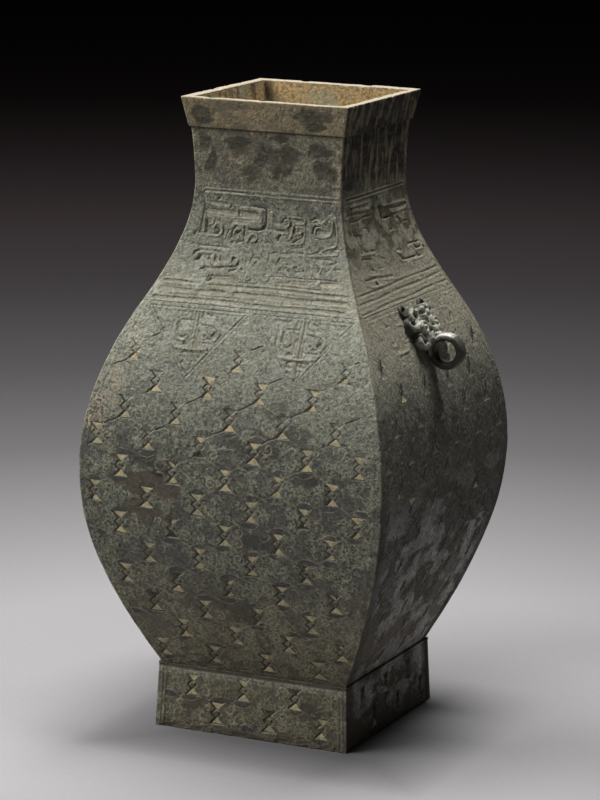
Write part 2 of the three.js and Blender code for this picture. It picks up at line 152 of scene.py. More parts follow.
# Ornament of the neck bands and of the hanging triangles, in millimetres across and up from the
# ground. Each stroke is sunk (minus) or raised (plus) by its height, and has its own width: shallow
# bars keep a tan paste, and deep slits are painted dark as shade.
BANDS = (
    (0.4, 0.8, "-42,343.4 48,343.4"),
    (0.4, 0.8, "-42,340.8 48,340.8"),
    (-0.5, 0.7, "-42,342 -28,342.2 -15,342"),
    # Upper row, left of the middle.
    (-0.6, 1.7, "-37.5,335 -25.8,334.4"),
    (-0.65, 3.0, "-39.5,330 -19.8,329.6"),
    (-1.1, 1.2, "-18.2,331.2 -18.4,328"),
    (-0.65, 3.4, "-16.8,329.2 -5,328.8"),
    (0.7, 2.2, "-17,332.8 -3,333 -2.8,324"),
    (0.7, 4.4, "-9,323.8 -3.2,323.8"),
    (-1.1, 1.3, "-8,334.4 -1,334.2 0.4,332.4 0.5,328 0.9,323.4 -0.8,321.2 -5,320.6 -10,320.8"),
    (0.5, 1.0, "1.8,333 2,328 2.8,323"),
    (-0.9, 1.0, "-41.5,334 -42.2,328 -42.8,322 -43,317.6 -44.4,316 -46,317.4 -46.6,315"),
    (-1.0, 1.4, "-39.2,324.4 -39,317.2"),
    (0.4, 0.7, "-41,326 -40.8,315.6"),
    (-0.7, 1.0, "-33.5,325.2 -34.4,321.4 -36.6,320.8"),
    (-0.6, 0.9, "-38.4,324.4 -36.4,324.8 -36,323 -37.6,322.6"),
    (-0.55, 1.8, "-38,317 -34.6,315.8"),
    (0.7, 1.1, "-37,315 -31,314.8 -28.2,316.4 -27.9,319.5 -29.4,322.2 -32,322.8 -34,321 -33.6,317.4"),
    (-1.0, 1.3, "-32.4,320.2 -30.8,319.8 -30.2,318 -31.8,316.8"),
    (-0.8, 0.8, "-33.4,324.4 -30,323.9 -27.4,322.6 -26.8,319 -27,316.2"),
    (-0.6, 0.9, "-23.2,319.6 -24.4,317 -25,313.6"),
    (-1.0, 1.3, "-19.6,321.6 -21.1,320 -21.5,318 -21.4,315.6"),
    (-0.8, 0.8, "-19.6,321.7 -17,321.4 -15.2,320.2"),
    (-1.1, 1.6, "-15.8,319.8 -17.9,318"),
    (0.6, 1.1, "-19.7,317.4 -19.5,319.3 -18.2,320.4 -16.8,320"),
    (-1.0, 1.3, "-13.4,322 -13,316.8"),
    (-0.7, 0.8, "-13,316.8 -11.8,313.6 -17,312.2"),
    (-0.6, 1.7, "-22,324.3 -12.6,324.3"),
    (-0.7, 0.7, "-22.4,325.7 -18,325.9 -11.8,325.8"),
    (-0.5, 0.7, "-41,327.9 -30,327.5 -14,327.2"),
    (0.6, 1.1, "-10.2,313.2 -9.5,316.6 -7.4,318.2 -5,317.7 -3.8,315.8 -5,313.6 -7.2,313.6"),
    (-0.8, 1.1, "-4.4,316.2 -3.9,313.6"),
    (-0.55, 1.2, "-8.2,314.2 -6.8,315.8"),
    (-0.7, 0.9, "-0.4,314.8 1.6,312.6 3.4,314.2 5.2,312.4"),
    (-1.0, 1.3, "-20.6,312.6 -20.4,312.2"),
    (-0.9, 1.2, "-33,337.5 -31.5,338.2"),
    (-0.9, 1.1, "-24.4,333 -23.4,333.6"),
    # Upper row, right of the middle.
    (0.7, 2.6, "4,331 3.9,326 6,323.8 12,323.3 14.6,323.9"),
    (0.6, 1.1, "15.4,323.9 17,325.6 16,328 13.4,328.3 12.9,326.4 14.4,325.4"),
    (-1.1, 1.5, "14,329 12.4,327.8 11.8,326.6"),
    (-0.9, 1.0, "18,327 17.6,324.6 15.8,322.8 10,322.4 5,323"),
    (-0.55, 1.5, "3.6,321.6 9,320.9 15.4,320.8"),
    (-0.9, 0.9, "16.4,328.5 20,328.2 24,328.6"),
    (0.5, 0.7, "15,329.8 24,329.9"),
    (-0.65, 1.8, "21,327.3 26,327.3"),
    (0.7, 1.1, "27,328.8 26.6,326.2 20.4,326 19.2,325 18.9,317.4 16.2,316.2"),
    (0.7, 1.1, "21,324.3 26.2,324.4 27.2,322.4 27.7,316.2 26.2,314.6 19,313.8"),
    (0.6, 1.1, "22,323.2 21.5,321.2 23.2,320.2 25,321.2"),
    (-1.0, 1.3, "26.6,321 25.6,318.6 23,317.2 21.6,316 20.4,314.9"),
    (-0.8, 1.1, "20.7,323.6 20.6,320.6"),
    (-0.6, 1.8, "22.6,318.7 24.6,319"),
    (-0.6, 2.0, "17.4,324.6 17.3,319.4"),
    (-1.0, 1.3, "11.4,318.7 10.2,317.4 10.4,315.6"),
    (-0.9, 1.2, "14,319.3 15.8,318.5 16,316.2"),
    (0.7, 1.2, "45.2,330.4 45.5,324 44.8,320.6 40,319.1 34.8,319.5 33.8,321.4 34.4,324.4 36.4,325"),
    (0.7, 1.0, "46.6,331.4 48,326 49,321 49.7,316 48.6,314.2 42.6,313 41.2,311.6"),
    (-0.9, 1.2, "46.6,328 47.4,324.8 47.6,321"),
    (-0.9, 1.3, "30.8,328.9 32.2,330.2 36.4,330.8"),
    (-0.8, 0.9, "30.6,327.6 35.2,327.7"),
    (-0.6, 1.6, "34.6,329.2 38.6,328.9"),
    (-1.0, 1.3, "36.8,326 34,325.8 32.7,324.4 32.6,321.4"),
    (-0.8, 1.1, "35.9,323.9 34.9,323.1"),
    (-0.5, 2.6, "37.4,322.2 42.6,322.4"),
    (0.5, 1.0, "39.2,329 39.2,326.6 41,325.5 42.7,326.6 42.8,329"),
    (-0.9, 1.1, "41.4,328.8 42.2,327.4 41.4,326.6"),
    (-0.7, 0.8, "43.4,341 43.4,338.8"),
    (-0.6, 0.8, "43.6,335 42.8,333.6"),
    (-0.5, 0.8, "37.6,335.4 38.2,334.2"),
    # Lower row, left of the middle.
    (-0.55, 1.3, "-42,309 -33,308.8 -22,308.6"),
    (-0.8, 0.9, "-47.4,309.4 -46,310.2 -44.4,308.7"),
    (-0.7, 0.8, "-30,306.2 -38,306.4 -42,306.3"),
    (-1.0, 1.3, "-42,306 -44.6,305.4 -45.2,303.7"),
    (-1.0, 1.3, "-40.2,303.6 -40.1,301.8 -42.8,300.5"),
    (0.6, 1.3, "-34,304.6 -41.4,304.6 -43.4,303.2 -42.4,301.9"),
    (-1.0, 1.2, "-34.1,301.9 -33.7,301.5"),
    (-0.8, 0.9, "-28.4,306.1 -26.4,305 -26,301"),
    (0.6, 2.4, "-31.4,303.4 -31.8,299.4 -29,298 -24,298.9 -19,299.4"),
    (0.6, 1.6, "-19,300.8 -19.3,303 -17.6,304.6 -14.6,303.6 -14.9,300.6"),
    (-0.9, 0.9, "-29.5,296.6 -27,296.6 -24,297.7 -16,297.9 -14,299.2 -13.6,301.2"),
    (-1.0, 1.2, "-15.8,303.6 -18.1,303 -18.4,301.4"),
    (-0.55, 2.0, "-29.8,302.6 -28,301"),
    (-0.9, 1.2, "-19,295.6 -16.6,296.2 -14.6,297.2"),
    (-1.0, 1.4, "-11,297.3 -10.6,297.3"),
    (-0.6, 0.8, "-9,303.4 -8.2,297"),
    (-0.8, 1.0, "-4.6,305.2 -5.6,303.6 -5.4,301"),
    (-0.55, 1.6, "-4,303.7 -1.5,304 -0.8,302 -2.6,300.6"),
    (-0.9, 1.2, "-35.6,297 -36.4,295.9 -38.4,295.2"),
    (-0.55, 1.8, "-34,296 -28.6,295.6"),
    (-0.9, 1.0, "-32.8,290.8 -31.4,291.9 -28,292 -20,292.2 -12.4,292.4"),
    (-1.0, 1.3, "-32.6,289.2 -31,289.2 -30.2,290.4"),
    (-0.6, 1.8, "-28,290.4 -12,290.5"),
    (-0.8, 0.8, "-17,289.3 0,289.4"),
    # Lower row, right of the middle.
    (-0.7, 0.9, "20,311.4 24,312 28,312.5"),
    (-0.55, 1.6, "20.4,309 28,308.8"),
    (-0.6, 1.7, "30.6,311.3 32.2,311.6"),
    (-0.9, 1.0, "32,313 33.7,311.8 32.8,310.6"),
    (-0.9, 0.9, "31,309 34,309.4 37.6,310.2 39.4,313"),
    (0.5, 0.9, "34,308.2 42,308.6 51,310"),
    (-0.7, 0.9, "34.6,306.5 41,306.6 46.4,306.8"),
    (-0.6, 0.9, "47.4,311.6 49,313 52,313.4 52.4,310.4"),
    (-0.8, 1.1, "7.8,307.8 11.4,308.5"),
    (0.5, 0.8, "13,306.2 20,306.2"),
    (-0.5, 1.8, "13,307.7 20,307.9"),
    (-0.55, 1.4, "6.2,307.4 6,302.6"),
    (-0.8, 1.1, "13.6,305.2 12.4,303.6 12.6,301.4"),
    (-0.7, 0.9, "15,303.9 17,304"),
    (-0.9, 1.1, "18.4,302.4 19.4,302.1"),
    (-0.8, 1.0, "23.4,303.8 25.6,303 25.8,301 24.4,300.4"),
    (0.5, 1.0, "22.6,301 23.6,302.4 24.6,301.8"),
    (-0.8, 0.9, "25.2,298.1 28,298.4 31,299"),
    (-0.8, 1.1, "14.2,298.6 15.6,298.3 15,299.6"),
    (-0.6, 2.0, "17.6,299.4 19.6,297.4"),
    (-0.8, 1.0, "32.8,304.8 34.4,303.2"),
    (0.6, 1.0, "42.7,302.4 42.1,300.4 41.2,298.8"),
    (-0.8, 1.0, "40.8,301.4 40.3,299.4"),
    (-0.6, 1.3, "45,299.4 47.4,301.2"),
    (-0.8, 1.3, "47.6,304.2 49.4,304.8 51.2,305.6"),
    (-0.9, 1.0, "50.4,301.6 54.6,302"),
    (-0.6, 0.8, "36.9,297.2 37.4,295.6"),
    (-0.6, 0.8, "9,294.4 20,294.8 30,294.4 44,295 56,294.8"),
    (-0.8, 0.9, "22,291.6 22.6,292.9 31,292.8 34,293.2 40,293.6"),
    (-0.55, 1.7, "16,291.4 21,291.2 34,291.4"),
    (-0.55, 2.2, "43.6,292.5 55,293.2"),
    (-1.0, 1.3, "4.6,293.8 5,294.2"),
    (-0.7, 0.8, "14,289.3 26,289.4 44,289"),
)
RINGS = ((-5.8, 292.7), (6.2, 293.2))
# The side faces have other scrolls in the same two rows, more worn.
SIDE_BANDS = (
    (0.4, 0.8, "-42,342.6 0,342.4 44,342.8"),
    (0.4, 0.8, "-42,340.2 0,340 44,340.4"),
    (-0.6, 0.8, "-38,341.4 0,341.2 40,341.6"),
    (0.5, 1.5, "-38,337 -24,336.6 -10,336.8"),
    (-0.8, 1.0, "-44,331.4 -34,332 -20,331"),
    (0.5, 1.6, "-36,334 -24,333.4 -10,332.2"),
    (-0.7, 1.2, "-40,327.6 -30,327 -22,328.4 -10,328"),
    (-1.1, 5.0, "5.6,330.4 6,326.6"),
    (-1.0, 1.4, "5,324.6 12,324 18,324"),
    (0.6, 1.5, "10,331.4 28,331 44,330.6"),
    (-0.8, 1.0, "20,328.6 32,328 46,328.4"),
    (0.6, 1.3, "22,326 34,325.6 44,326.2"),
    (-1.0, 1.4, "28,322.6 31,321 31.6,318"),
    (-0.8, 1.2, "-40,323 -39,319.6 -36,318.4"),
    (0.6, 1.3, "-34,324 -33.6,320 -28,319.4"),
    (-0.7, 1.1, "-24,322 -18,321.6 -17.6,318"),
    (-0.7, 1.0, "36,318.6 44,318.2 46,315"),
    (-0.7, 1.0, "12,316.4 17,315.8 20,316.6"),
    (-0.9, 1.2, "-30.6,309 -26,308.2"),
    (-0.9, 1.1, "-22,308.2 -15,307.4"),
    (0.6, 1.5, "-37.4,307.4 -27,306.6 -17,306"),
    (-0.9, 1.1, "-38,304.8 -31,304.3 -25,303.4"),
    (-0.7, 0.9, "-12,303.2 -9,301.8 -6,301.4"),
    (0.5, 1.2, "-18,304.8 -12,304.6"),
    (-0.8, 1.3, "-30.6,299.8 -29.4,297.4 -26,297"),
    (-0.7, 0.9, "-20,297.3 -10,296.8"),
    (0.6, 1.2, "-36,295.2 -30,294.4 -21,293.8"),
    (-0.9, 1.0, "-44,293.3 -36,293 -28,292.7"),
    (-0.9, 1.0, "-22,291.9 -12,291.6 -4,291"),
    (-1.1, 1.8, "-30.6,290.2 -28.6,289"),
    (0.6, 1.3, "-44,290.6 -38,288.3 -26,287.8"),
    (0.5, 1.1, "-16,290 -9,289.4 -1,288.6"),
    (-0.8, 1.1, "14,303.8 21,303.2"),
    (-1.0, 1.2, "17,300.4 18,298.4 20.4,297.3 30,297.2 38,297"),
    (0.6, 1.3, "13.6,302.2 19,301.2"),
    (0.6, 1.3, "13.4,298.2 16,296.6 21,296"),
    (-0.9, 1.1, "32,305 40,304.9 49,304.7"),
    (0.6, 1.3, "31,302.8 34,303.4 36.6,304 39,301.8"),
    (-1.0, 1.3, "41,303.4 42.6,301.6 45,301.2 49.4,301.4"),
    (-1.0, 1.2, "53,301 55,300.2"),
    (-0.9, 1.2, "40,298.2 41.6,296.4 45,296.3"),
    (0.5, 1.1, "40,300 53,299.8"),
    (0.5, 1.1, "31,295.3 46,295.1"),
)
# Patches on the front and on a side face: kind, place across and level, and half their width and
# height. Kind 0 is bare dark skin, 1 a brown loss of the skin and 2 a pinkish tan crust, except
# where noted below.
STAINS = (
    (
        (0, -42, 390, 9, 6), (0, 34, 393, 11, 5), (0, 33, 386.5, 7, 3),
        (2, -8, 389, 13, 7), (2, 49, 391, 5, 6), (2, -44, 398, 8, 3),
        (0, -43, 372, 4.5, 6), (0, -37, 361, 4.5, 6), (0, -18, 370.5, 6, 6), (0, 0, 365, 8, 7),
        (0, 6, 358, 9, 5), (0, -8, 354, 8, 5), (0, 15, 368, 7, 7), (0, 10, 377.5, 6, 3),
        (0, 36, 370.5, 7, 5), (0, 35, 359, 5, 6), (0, 43, 356.5, 4, 4), (0, -27, 374, 4, 2),
        (2, 47, 358, 3, 20), (2, -20, 363, 5, 3),
        (1, -70, 167, 13, 4.5), (1, -62, 163, 9, 5), (1, -50, 168, 10, 6), (1, -42, 163, 11, 6),
        (1, -62, 150, 14, 6), (0, -45, 175, 6, 4), (0, -57, 182, 10, 6), (1, 71, 268, 3, 9),
        (0, 42, 205, 12, 6), (0, 3, 199, 8, 5), (0, 22, 196, 15, 8), (0, -3, 213, 9, 5),
        (0, 30, 218, 8, 5), (0, 16, 136, 12, 4), (0, 4, 89, 15, 8), (0, 52, 180, 10, 6),
        # The three tall pinkish tan patches by the front face's left arris, between levels 190 and 271, are
        # painted light: a pale rim where the light grazes that edge.
        (0, 42, 22, 12, 6), (0, -40, 18, 7, 5), (2, -72, 255, 7, 16), (2, -83, 228, 8, 17),
        (2, -91, 205, 7, 15),
    ),
    (
        (0, -30, 365, 12, 9), (0, 10, 372, 14, 7), (0, 34, 356, 9, 9), (0, -20, 392, 16, 5),
        (0, 24, 390, 14, 5), (1, 28, 332, 20, 9), (1, -26, 330, 17, 7), (1, -71, 268, 3, 9),
        # The two patches at levels 241 and 242, across 19 and 20, darken the wall where it shows through a
        # loop's hole.
        (0, -40, 352, 9, 5), (1, 46, 315, 8, 10), (2, 8, 384, 10, 3), (1, 20, 241, 10, 9),
        (0, 19, 242, 11, 9), (1, -8, 326, 9, 6), (1, -44, 306, 9, 6),
    ),
)
# The ribs' grooves: level, half their width and where each one's wave starts.
GROOVES = ((286.8, 0.8, 0.4), (282.5, 1.25, 2.1), (277.3, 1.15, 3.9))
PENDANT_MIDDLE = 35.5
PENDANT_SHIFT = 2.0
PENDANT_HALF = 35.5
PENDANT_TIP = 231.5
PENDANT_TOP = 273.5
# Strokes inside one hanging triangle, across from its middle.
PENDANT = (
    (-0.6, 0.9, "-0.9,273.4 -0.9,262 -0.8,250"),
    (-0.8, 0.9, "1.3,273 1.3,262 1.2,238"),
    (-0.55, 1.3, "-5.4,272.6 -3.4,271.8 -3.2,267.4"),
    (-0.8, 0.7, "-9.6,266 -5,266.2 -2.2,266"),
    (-0.6, 1.3, "10.6,270.4 11,271.4 8,272.2 4,272.2 3.5,267.4 5.2,266.4"),
    (-0.7, 0.8, "7,269.8 9.4,269.2 11.4,269.8"),
    (-0.55, 1.2, "-8.6,270.4 -7.4,271.9 -6.4,271.6"),
    (-0.9, 0.9, "-11.6,272.2 -9.6,272.6"),
    (-0.65, 1.4, "-11.4,264 -11.4,258 -9.6,256 -6.6,255.8 -5.4,257.4"),
    (-0.6, 0.8, "-15.2,264.6 -15.4,257.4"),
    (-0.5, 1.4, "-20.6,260 -19.6,257"),
    (0.5, 1.1, "-13.2,264.6 -13.2,258 -11,254.2 -5.6,254"),
    (-0.65, 1.2, "8.2,255.6 11.6,255.6 14,257 14.7,260"),
    (-1.0, 1.2, "13.6,259.8 12,257.6"),
    (-0.9, 1.2, "7.2,257.6 7.6,257.2"),
    (-0.8, 0.9, "18.2,258.6 17,255.6 15.4,253.6"),
    (0.5, 1.1, "4.6,264.6 12,264.4 16,262 16.8,257.6"),
    (-0.7, 0.7, "5,253.3 13,253.2"),
    (-0.6, 1.2, "3.3,259.6 3.5,251"),
    (-0.55, 1.0, "-2.7,259.6 -2.7,252"),
    (-0.7, 0.8, "-6.6,251.7 -3,251.9"),
    (0.5, 1.4, "-11.4,249.6 0,249.2 9.6,249.6"),
    (-0.65, 1.2, "2.4,247.8 6.4,247.8 7,245.6 4.8,244.8 4,246.2"),
    (-0.65, 1.2, "-2.8,247.6 -5.6,247.4 -5.6,245 -3.4,244.2"),
    (-0.7, 0.9, "1.8,242.4 3.4,243 5.2,242.4"),
    (-0.9, 1.1, "-4.5,241.6 -5.3,240.2"),
    (-1.0, 1.3, "11.2,249.4 11.6,249"),
    (-0.8, 0.9, "1.6,238.6 0.2,236.8"),
)

# The diaper, one hourglass in the middle and one at the corners of each cell: the cell's width and
# height, where it starts across and along, how far its columns lean and how far its rows drop.
BELLY_CELL = (35.7, 36.5, -5.0, 30.1, 0.031, 0.02)
FOOT_CELL = (36.0, 33.0, -5.0, 30.0, 0.0, 0.0)
CURL_PITCH = 2.8  # from one turn of a curl to the next
LINE_START = 4.7  # where the lines between hourglasses would meet their axis, from the waist
REACH_UP = 6.5  # from an hourglass's waist to its upper triangle's edge
REACH_DOWN = 6.9  # and to its lower triangle's
WAIST_GAP = 2.2  # from the waist to where the triangles start
BORDER = 5.0  # from an arris to the line beside it
FAR = 20.0  # stands for a place beyond every hourglass
RING_COLUMNS = 216  # divisions of the collar and the foot across one face
ARC_STEPS = 4  # divisions of an arris from its edge to its mitre
CURL_STEPS = 22  # and of a curl on the masks


def hourglass_half(up):
    """Half-width of an hourglass's triangle at a height over the waist."""
    return 0.3 + 4.9 * np.clip((np.abs(up) - 2.3) / 4.9, 0, 1.2) ** 1.12


def pendant_gap(across, along):
    """Distance outside (plus) or inside (minus) the nearer hanging triangle."""
    low, high = along_at(PENDANT_TIP), along_at(PENDANT_TOP)
    x = np.abs(np.abs(across - PENDANT_SHIFT) - PENDANT_MIDDLE)
    span = math.hypot(PENDANT_HALF, high - low)
    side = (x * (high - low) - (along - low) * PENDANT_HALF) / span
    return np.maximum(side, along - high)


def diaper_spots(face, foot=False):
    """Where a face has its hourglasses: across, along, their size and how open the upper triangle is.
    High on the belly the crust has covered most of the upper ones."""
    rng = np.random.default_rng(40 + face + 10 * foot)
    spots = []
    wide, high, x0, y0, lean, drop = FOOT_CELL if foot else BELLY_CELL
    for i in range(-5, 6):
        for j in range(-1, 9):
            for corner in (0.0, 0.5):
                column, row = (i + corner) * wide, (j + corner) * high
                x, y = x0 + column + lean * row, y0 + row - drop * column
                if foot:
                    inside = abs(x) < FOOT_HALF[1] - 7.5 and 9 < y < FOOT_TOP - 7
                else:
                    half = wall_at(level_at(np.clip(y, 0, ALONG[-1])))[0]
                    inside = abs(x) < half - 9.5 and 9 < y < along_at(PENDANT_TOP) - 6
                    inside = inside and pendant_gap(x, y) > 5.5
                size = 1 + rng.uniform(-0.1, 0.1)
                covered = not foot and rng.random() < 0.75 * ramp(150, 170, y)
                if inside:
                    spots.append((x + rng.uniform(-0.5, 0.5), y + rng.uniform(-0.5, 0.5), size,
                                  0.3 if covered else 1.0))
    return np.array(spots)


def waist_places(across, along, spots):
    """Each point's place round the nearest hourglass's waist, or far from any."""
    found = np.full(across.shape + (3,), FAR)
    for x, y, size, _ in spots:
        near = np.nonzero((np.abs(across - x) < 8.5) & (np.abs(along - y) < 9.0))
        mark = 0.5 + 0.5 * math.sin(12.9 * x + 78.2 * y)
        spot = [(across[near] - x) / size, (along[near] - y) / size, mark + 0 * across[near]]
        found[near] = np.stack(spot, -1)
    return found


def stain_marks(face, across, level, points):
    """How much each kind of patch covers points of a face; the far faces repeat the near ones."""
    found = np.zeros(across.shape + (3,))
    warp = 0.5 * lumps(points, 6, 2.7) + 0.3 * lumps(points, 2.4, 8.1)
    for kind, x, z, wide, high in STAINS[face % 2]:
        gap = np.hypot((across - (x if face < 2 else -x)) / wide, (level - z) / high)
        found[..., kind] = np.maximum(found[..., kind], ramp(1.2, 0.75, gap + warp))
    return found


def hourglass_relief(across, along, spots, depth):
    """Sunk triangles and the small diamond between them."""
    relief = np.zeros_like(across)
    for x, y, size, opened in spots:
        near = np.nonzero((np.abs(across - x) < 8) & (np.abs(along - y) < 9))
        px, py = (across[near] - x) / size, (along[near] - y) / size
        reach = np.where(py < 0, REACH_DOWN, REACH_UP)
        gap = np.maximum(np.abs(px) - hourglass_half(py), np.abs(py) - reach)
        gap = np.maximum(gap, WAIST_GAP - np.abs(py))
        sunk = -depth * ramp(0.3, -0.3, gap) * np.where(py > 0, opened, 1.0)
        diamond = np.abs(px) + np.abs(py)
        sunk -= 0.6 * depth * ramp(3.8, 3.2, diamond) * ramp(1.9, 2.5, diamond)
        relief[near] = np.where(np.abs(sunk) > np.abs(relief[near]), sunk, relief[near])
    return relief


def path_of(text):
    return [tuple(float(n) for n in pair.split(",")) for pair in text.split()]


def rounded(path):
    """The path with its corners cut twice, so that it bends smoothly."""
    for _ in range(2 if len(path) > 2 else 0):
        cut = [path[0]]
        for (ax, ay), (bx, by) in zip(path, path[1:]):
            cut += [(ax + 0.25 * (bx - ax), ay + 0.25 * (by - ay)),
                    (ax + 0.75 * (bx - ax), ay + 0.75 * (by - ay))]
        path = cut + [path[-1]]
    return path


def gap_to_path(across, along, path):
    """Distance from points of a face to a path of straight strokes."""
    best = np.full(across.shape, 1e3)
    for (ax, ay), (bx, by) in zip(path, path[1:]):
        dx, dy = bx - ax, by - ay
        t = np.clip(((across - ax) * dx + (along - ay) * dy) / (dx * dx + dy * dy), 0, 1)
        best = np.minimum(best, np.hypot(across - ax - t * dx, along - ay - t * dy))
    return best


def stroke_relief(across, along, strokes, middle=0.0):
    """Raised and sunk strokes."""
    raised = np.zeros_like(across)
    sunk = np.zeros_like(across)
    for height, width, text in strokes:
        path = rounded([(x + middle, float(along_at(z))) for x, z in path_of(text)])
        xs, ys = [p[0] for p in path], [p[1] for p in path]
        near = np.nonzero((across > min(xs) - 4) & (across < max(xs) + 4)
                          & (along > min(ys) - 4) & (along < max(ys) + 4))
        gap = gap_to_path(across[near], along[near], path)
        amount = ramp(width / 2 + 0.3, width / 2 - 0.3, gap)
        if height > 0:
            raised[near] = np.maximum(raised[near], height * amount)
        else:
            sunk[near] = np.minimum(sunk[near], height * amount)
    return raised + sunk * (1 - ramp(0, 0.5, raised))


def band_relief(across, along, half, side):
    """Relief of the neck: line pair, scrolls, small rings and the ribs' grooves."""
    relief = stroke_relief(across, along, SIDE_BANDS if side else BANDS)
    for x, z in () if side else RINGS:
        gap = np.abs(np.hypot(across - x, along - along_at(z)) - 1.6)
        relief += 0.6 * ramp(0.7, 0.3, gap)
    inside = ramp(BORDER - 0.6, BORDER + 0.6, half - np.abs(across))
    for z, reach, start in GROOVES:
        wander = lumps(np.stack([across, 0.2 * along + 7 * start, 5.0 * side + 0 * across], -1), 8.0)
        wave = 0.3 * np.sin(across / 11 + start) + (0.05 * (1 - along / ALONG[-1]) * across if side else 0)
        gap = np.abs(along - along_at(z) - wave)
        width = reach * (0.6 if side else 1) * (1 + 0.4 * wander)
        kept = ramp(-0.65, -0.3, wander)
        sunk = 0.75 * kept * ramp(width + 0.35, width - 0.25, gap)
        relief += inside * (0.25 * ramp(3.0, 1.5, gap) - sunk)
    return relief


def belly_relief(across, along, half, spots, depth):
    """Relief of the belly: hourglasses, hanging triangles and the lines beside the arrises."""
    relief = hourglass_relief(across, along, spots, depth)
    gap = pendant_gap(across, along)
    below = along < along_at(PENDANT_TOP) - 1
    flat = np.stack([across, along, 0 * across], -1)
    shown = below * ramp(-0.5, 0.3, lumps(flat, 9.0, 4.4))
    for offset in (0.0, -2.3):
        relief += 0.3 * ramp(0.75, 0.25, np.abs(gap - offset)) * shown
    relief -= 0.45 * ramp(0.6, 0.2, np.abs(gap + 1.15)) * shown
    for middle in (-PENDANT_MIDDLE, PENDANT_MIDDLE):
        inner = stroke_relief(across, along, PENDANT, middle=middle + PENDANT_SHIFT)
        relief += inner * ramp(-1.5, -2.5, gap)
    edge = half - np.abs(across)
    relief += 0.3 * ramp(0.7, 0.2, np.abs(edge - BORDER)) * (along > 4)
    return relief


def section(half, flat, radius):
    """One face's share of rounded squares, from mitre to mitre: place, normal and unrolled place."""
    half = np.asarray(half, float)[:, None]
    arc = np.radians(np.linspace(45, 0, ARC_STEPS, endpoint=False))
    turn = np.concatenate([-arc, np.zeros(flat + 1), arc[::-1]])
    share = np.concatenate([-np.ones(ARC_STEPS), np.linspace(-1, 1, flat + 1), np.ones(ARC_STEPS)])
    across = share * (half - radius) + radius * np.sin(turn)
    out = half - radius + radius * np.cos(turn)
    unrolled = share * (half - radius) + radius * turn
    lean = np.broadcast_to(turn, across.shape)
    return across, out, lean, unrolled


def on_face(face, across, out, up):
    """Points given across, out of and up a face, in the vessel's frame."""
    c, s = math.cos(face * math.pi / 2), math.sin(face * math.pi / 2)
    return np.stack([across * c + out * s, across * s - out * c, up], -1)


def mesh_object(name, verts, quads, rings=(), attributes=None):
    """An object from vertices in millimetres, smooth quads and any larger flat faces."""
    mesh = bpy.data.meshes.new(name)
    loops = np.concatenate([np.asarray(quads).ravel(), *rings]).astype(np.int32)
    sizes = np.concatenate([np.full(len(quads), 4), [len(r) for r in rings]]).astype(np.int32)
    mesh.vertices.add(len(verts))
    mesh.vertices.foreach_set("co", (np.asarray(verts) * MM).astype(np.float32).ravel())
    mesh.loops.add(len(loops))
    mesh.loops.foreach_set("vertex_index", loops)
    mesh.polygons.add(len(sizes))
    mesh.polygons.foreach_set("loop_start", (np.cumsum(sizes) - sizes).astype(np.int32))
    smooth = np.concatenate([np.ones(len(quads), bool), np.zeros(len(rings), bool)])
    mesh.polygons.foreach_set("use_smooth", smooth)
    mesh.update(calc_edges=True)
    for label, values in (attributes or {}).items():
        layer = mesh.attributes.new(label, "FLOAT_VECTOR", "POINT")
        layer.data.foreach_set("vector", np.asarray(values, np.float32).ravel())
    obj = bpy.data.objects.new(name, mesh)
    bpy.context.scene.collection.objects.link(obj)
    return obj


def finish_piece(obj, material, slot, *nodes):
    obj.data.materials.clear()
    obj.data.materials.append(material)
    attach(obj, "root")
    if nodes:
        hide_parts(*nodes)
    return obj


def grid_quads(rows, cols):
    """Quads of a grid of rows by cols vertices, facing across times up."""
    i, j = np.meshgrid(np.arange(rows - 1), np.arange(cols - 1), indexing="ij")
    a = i * cols + j
    return np.stack([a, a + 1, a + cols + 1, a + cols], -1).reshape(-1, 4)


def closed_quads(rows, cols):
    """Quads of a grid of rows by cols vertices that closes on itself both ways."""
    i, j = np.meshgrid(np.arange(rows), np.arange(cols), indexing="ij")
    near, over = (i + 1) % rows, (j + 1) % cols
    quads = np.stack([i * cols + j, i * cols + over, near * cols + over, near * cols + j], -1)
    return quads.reshape(-1, 4)


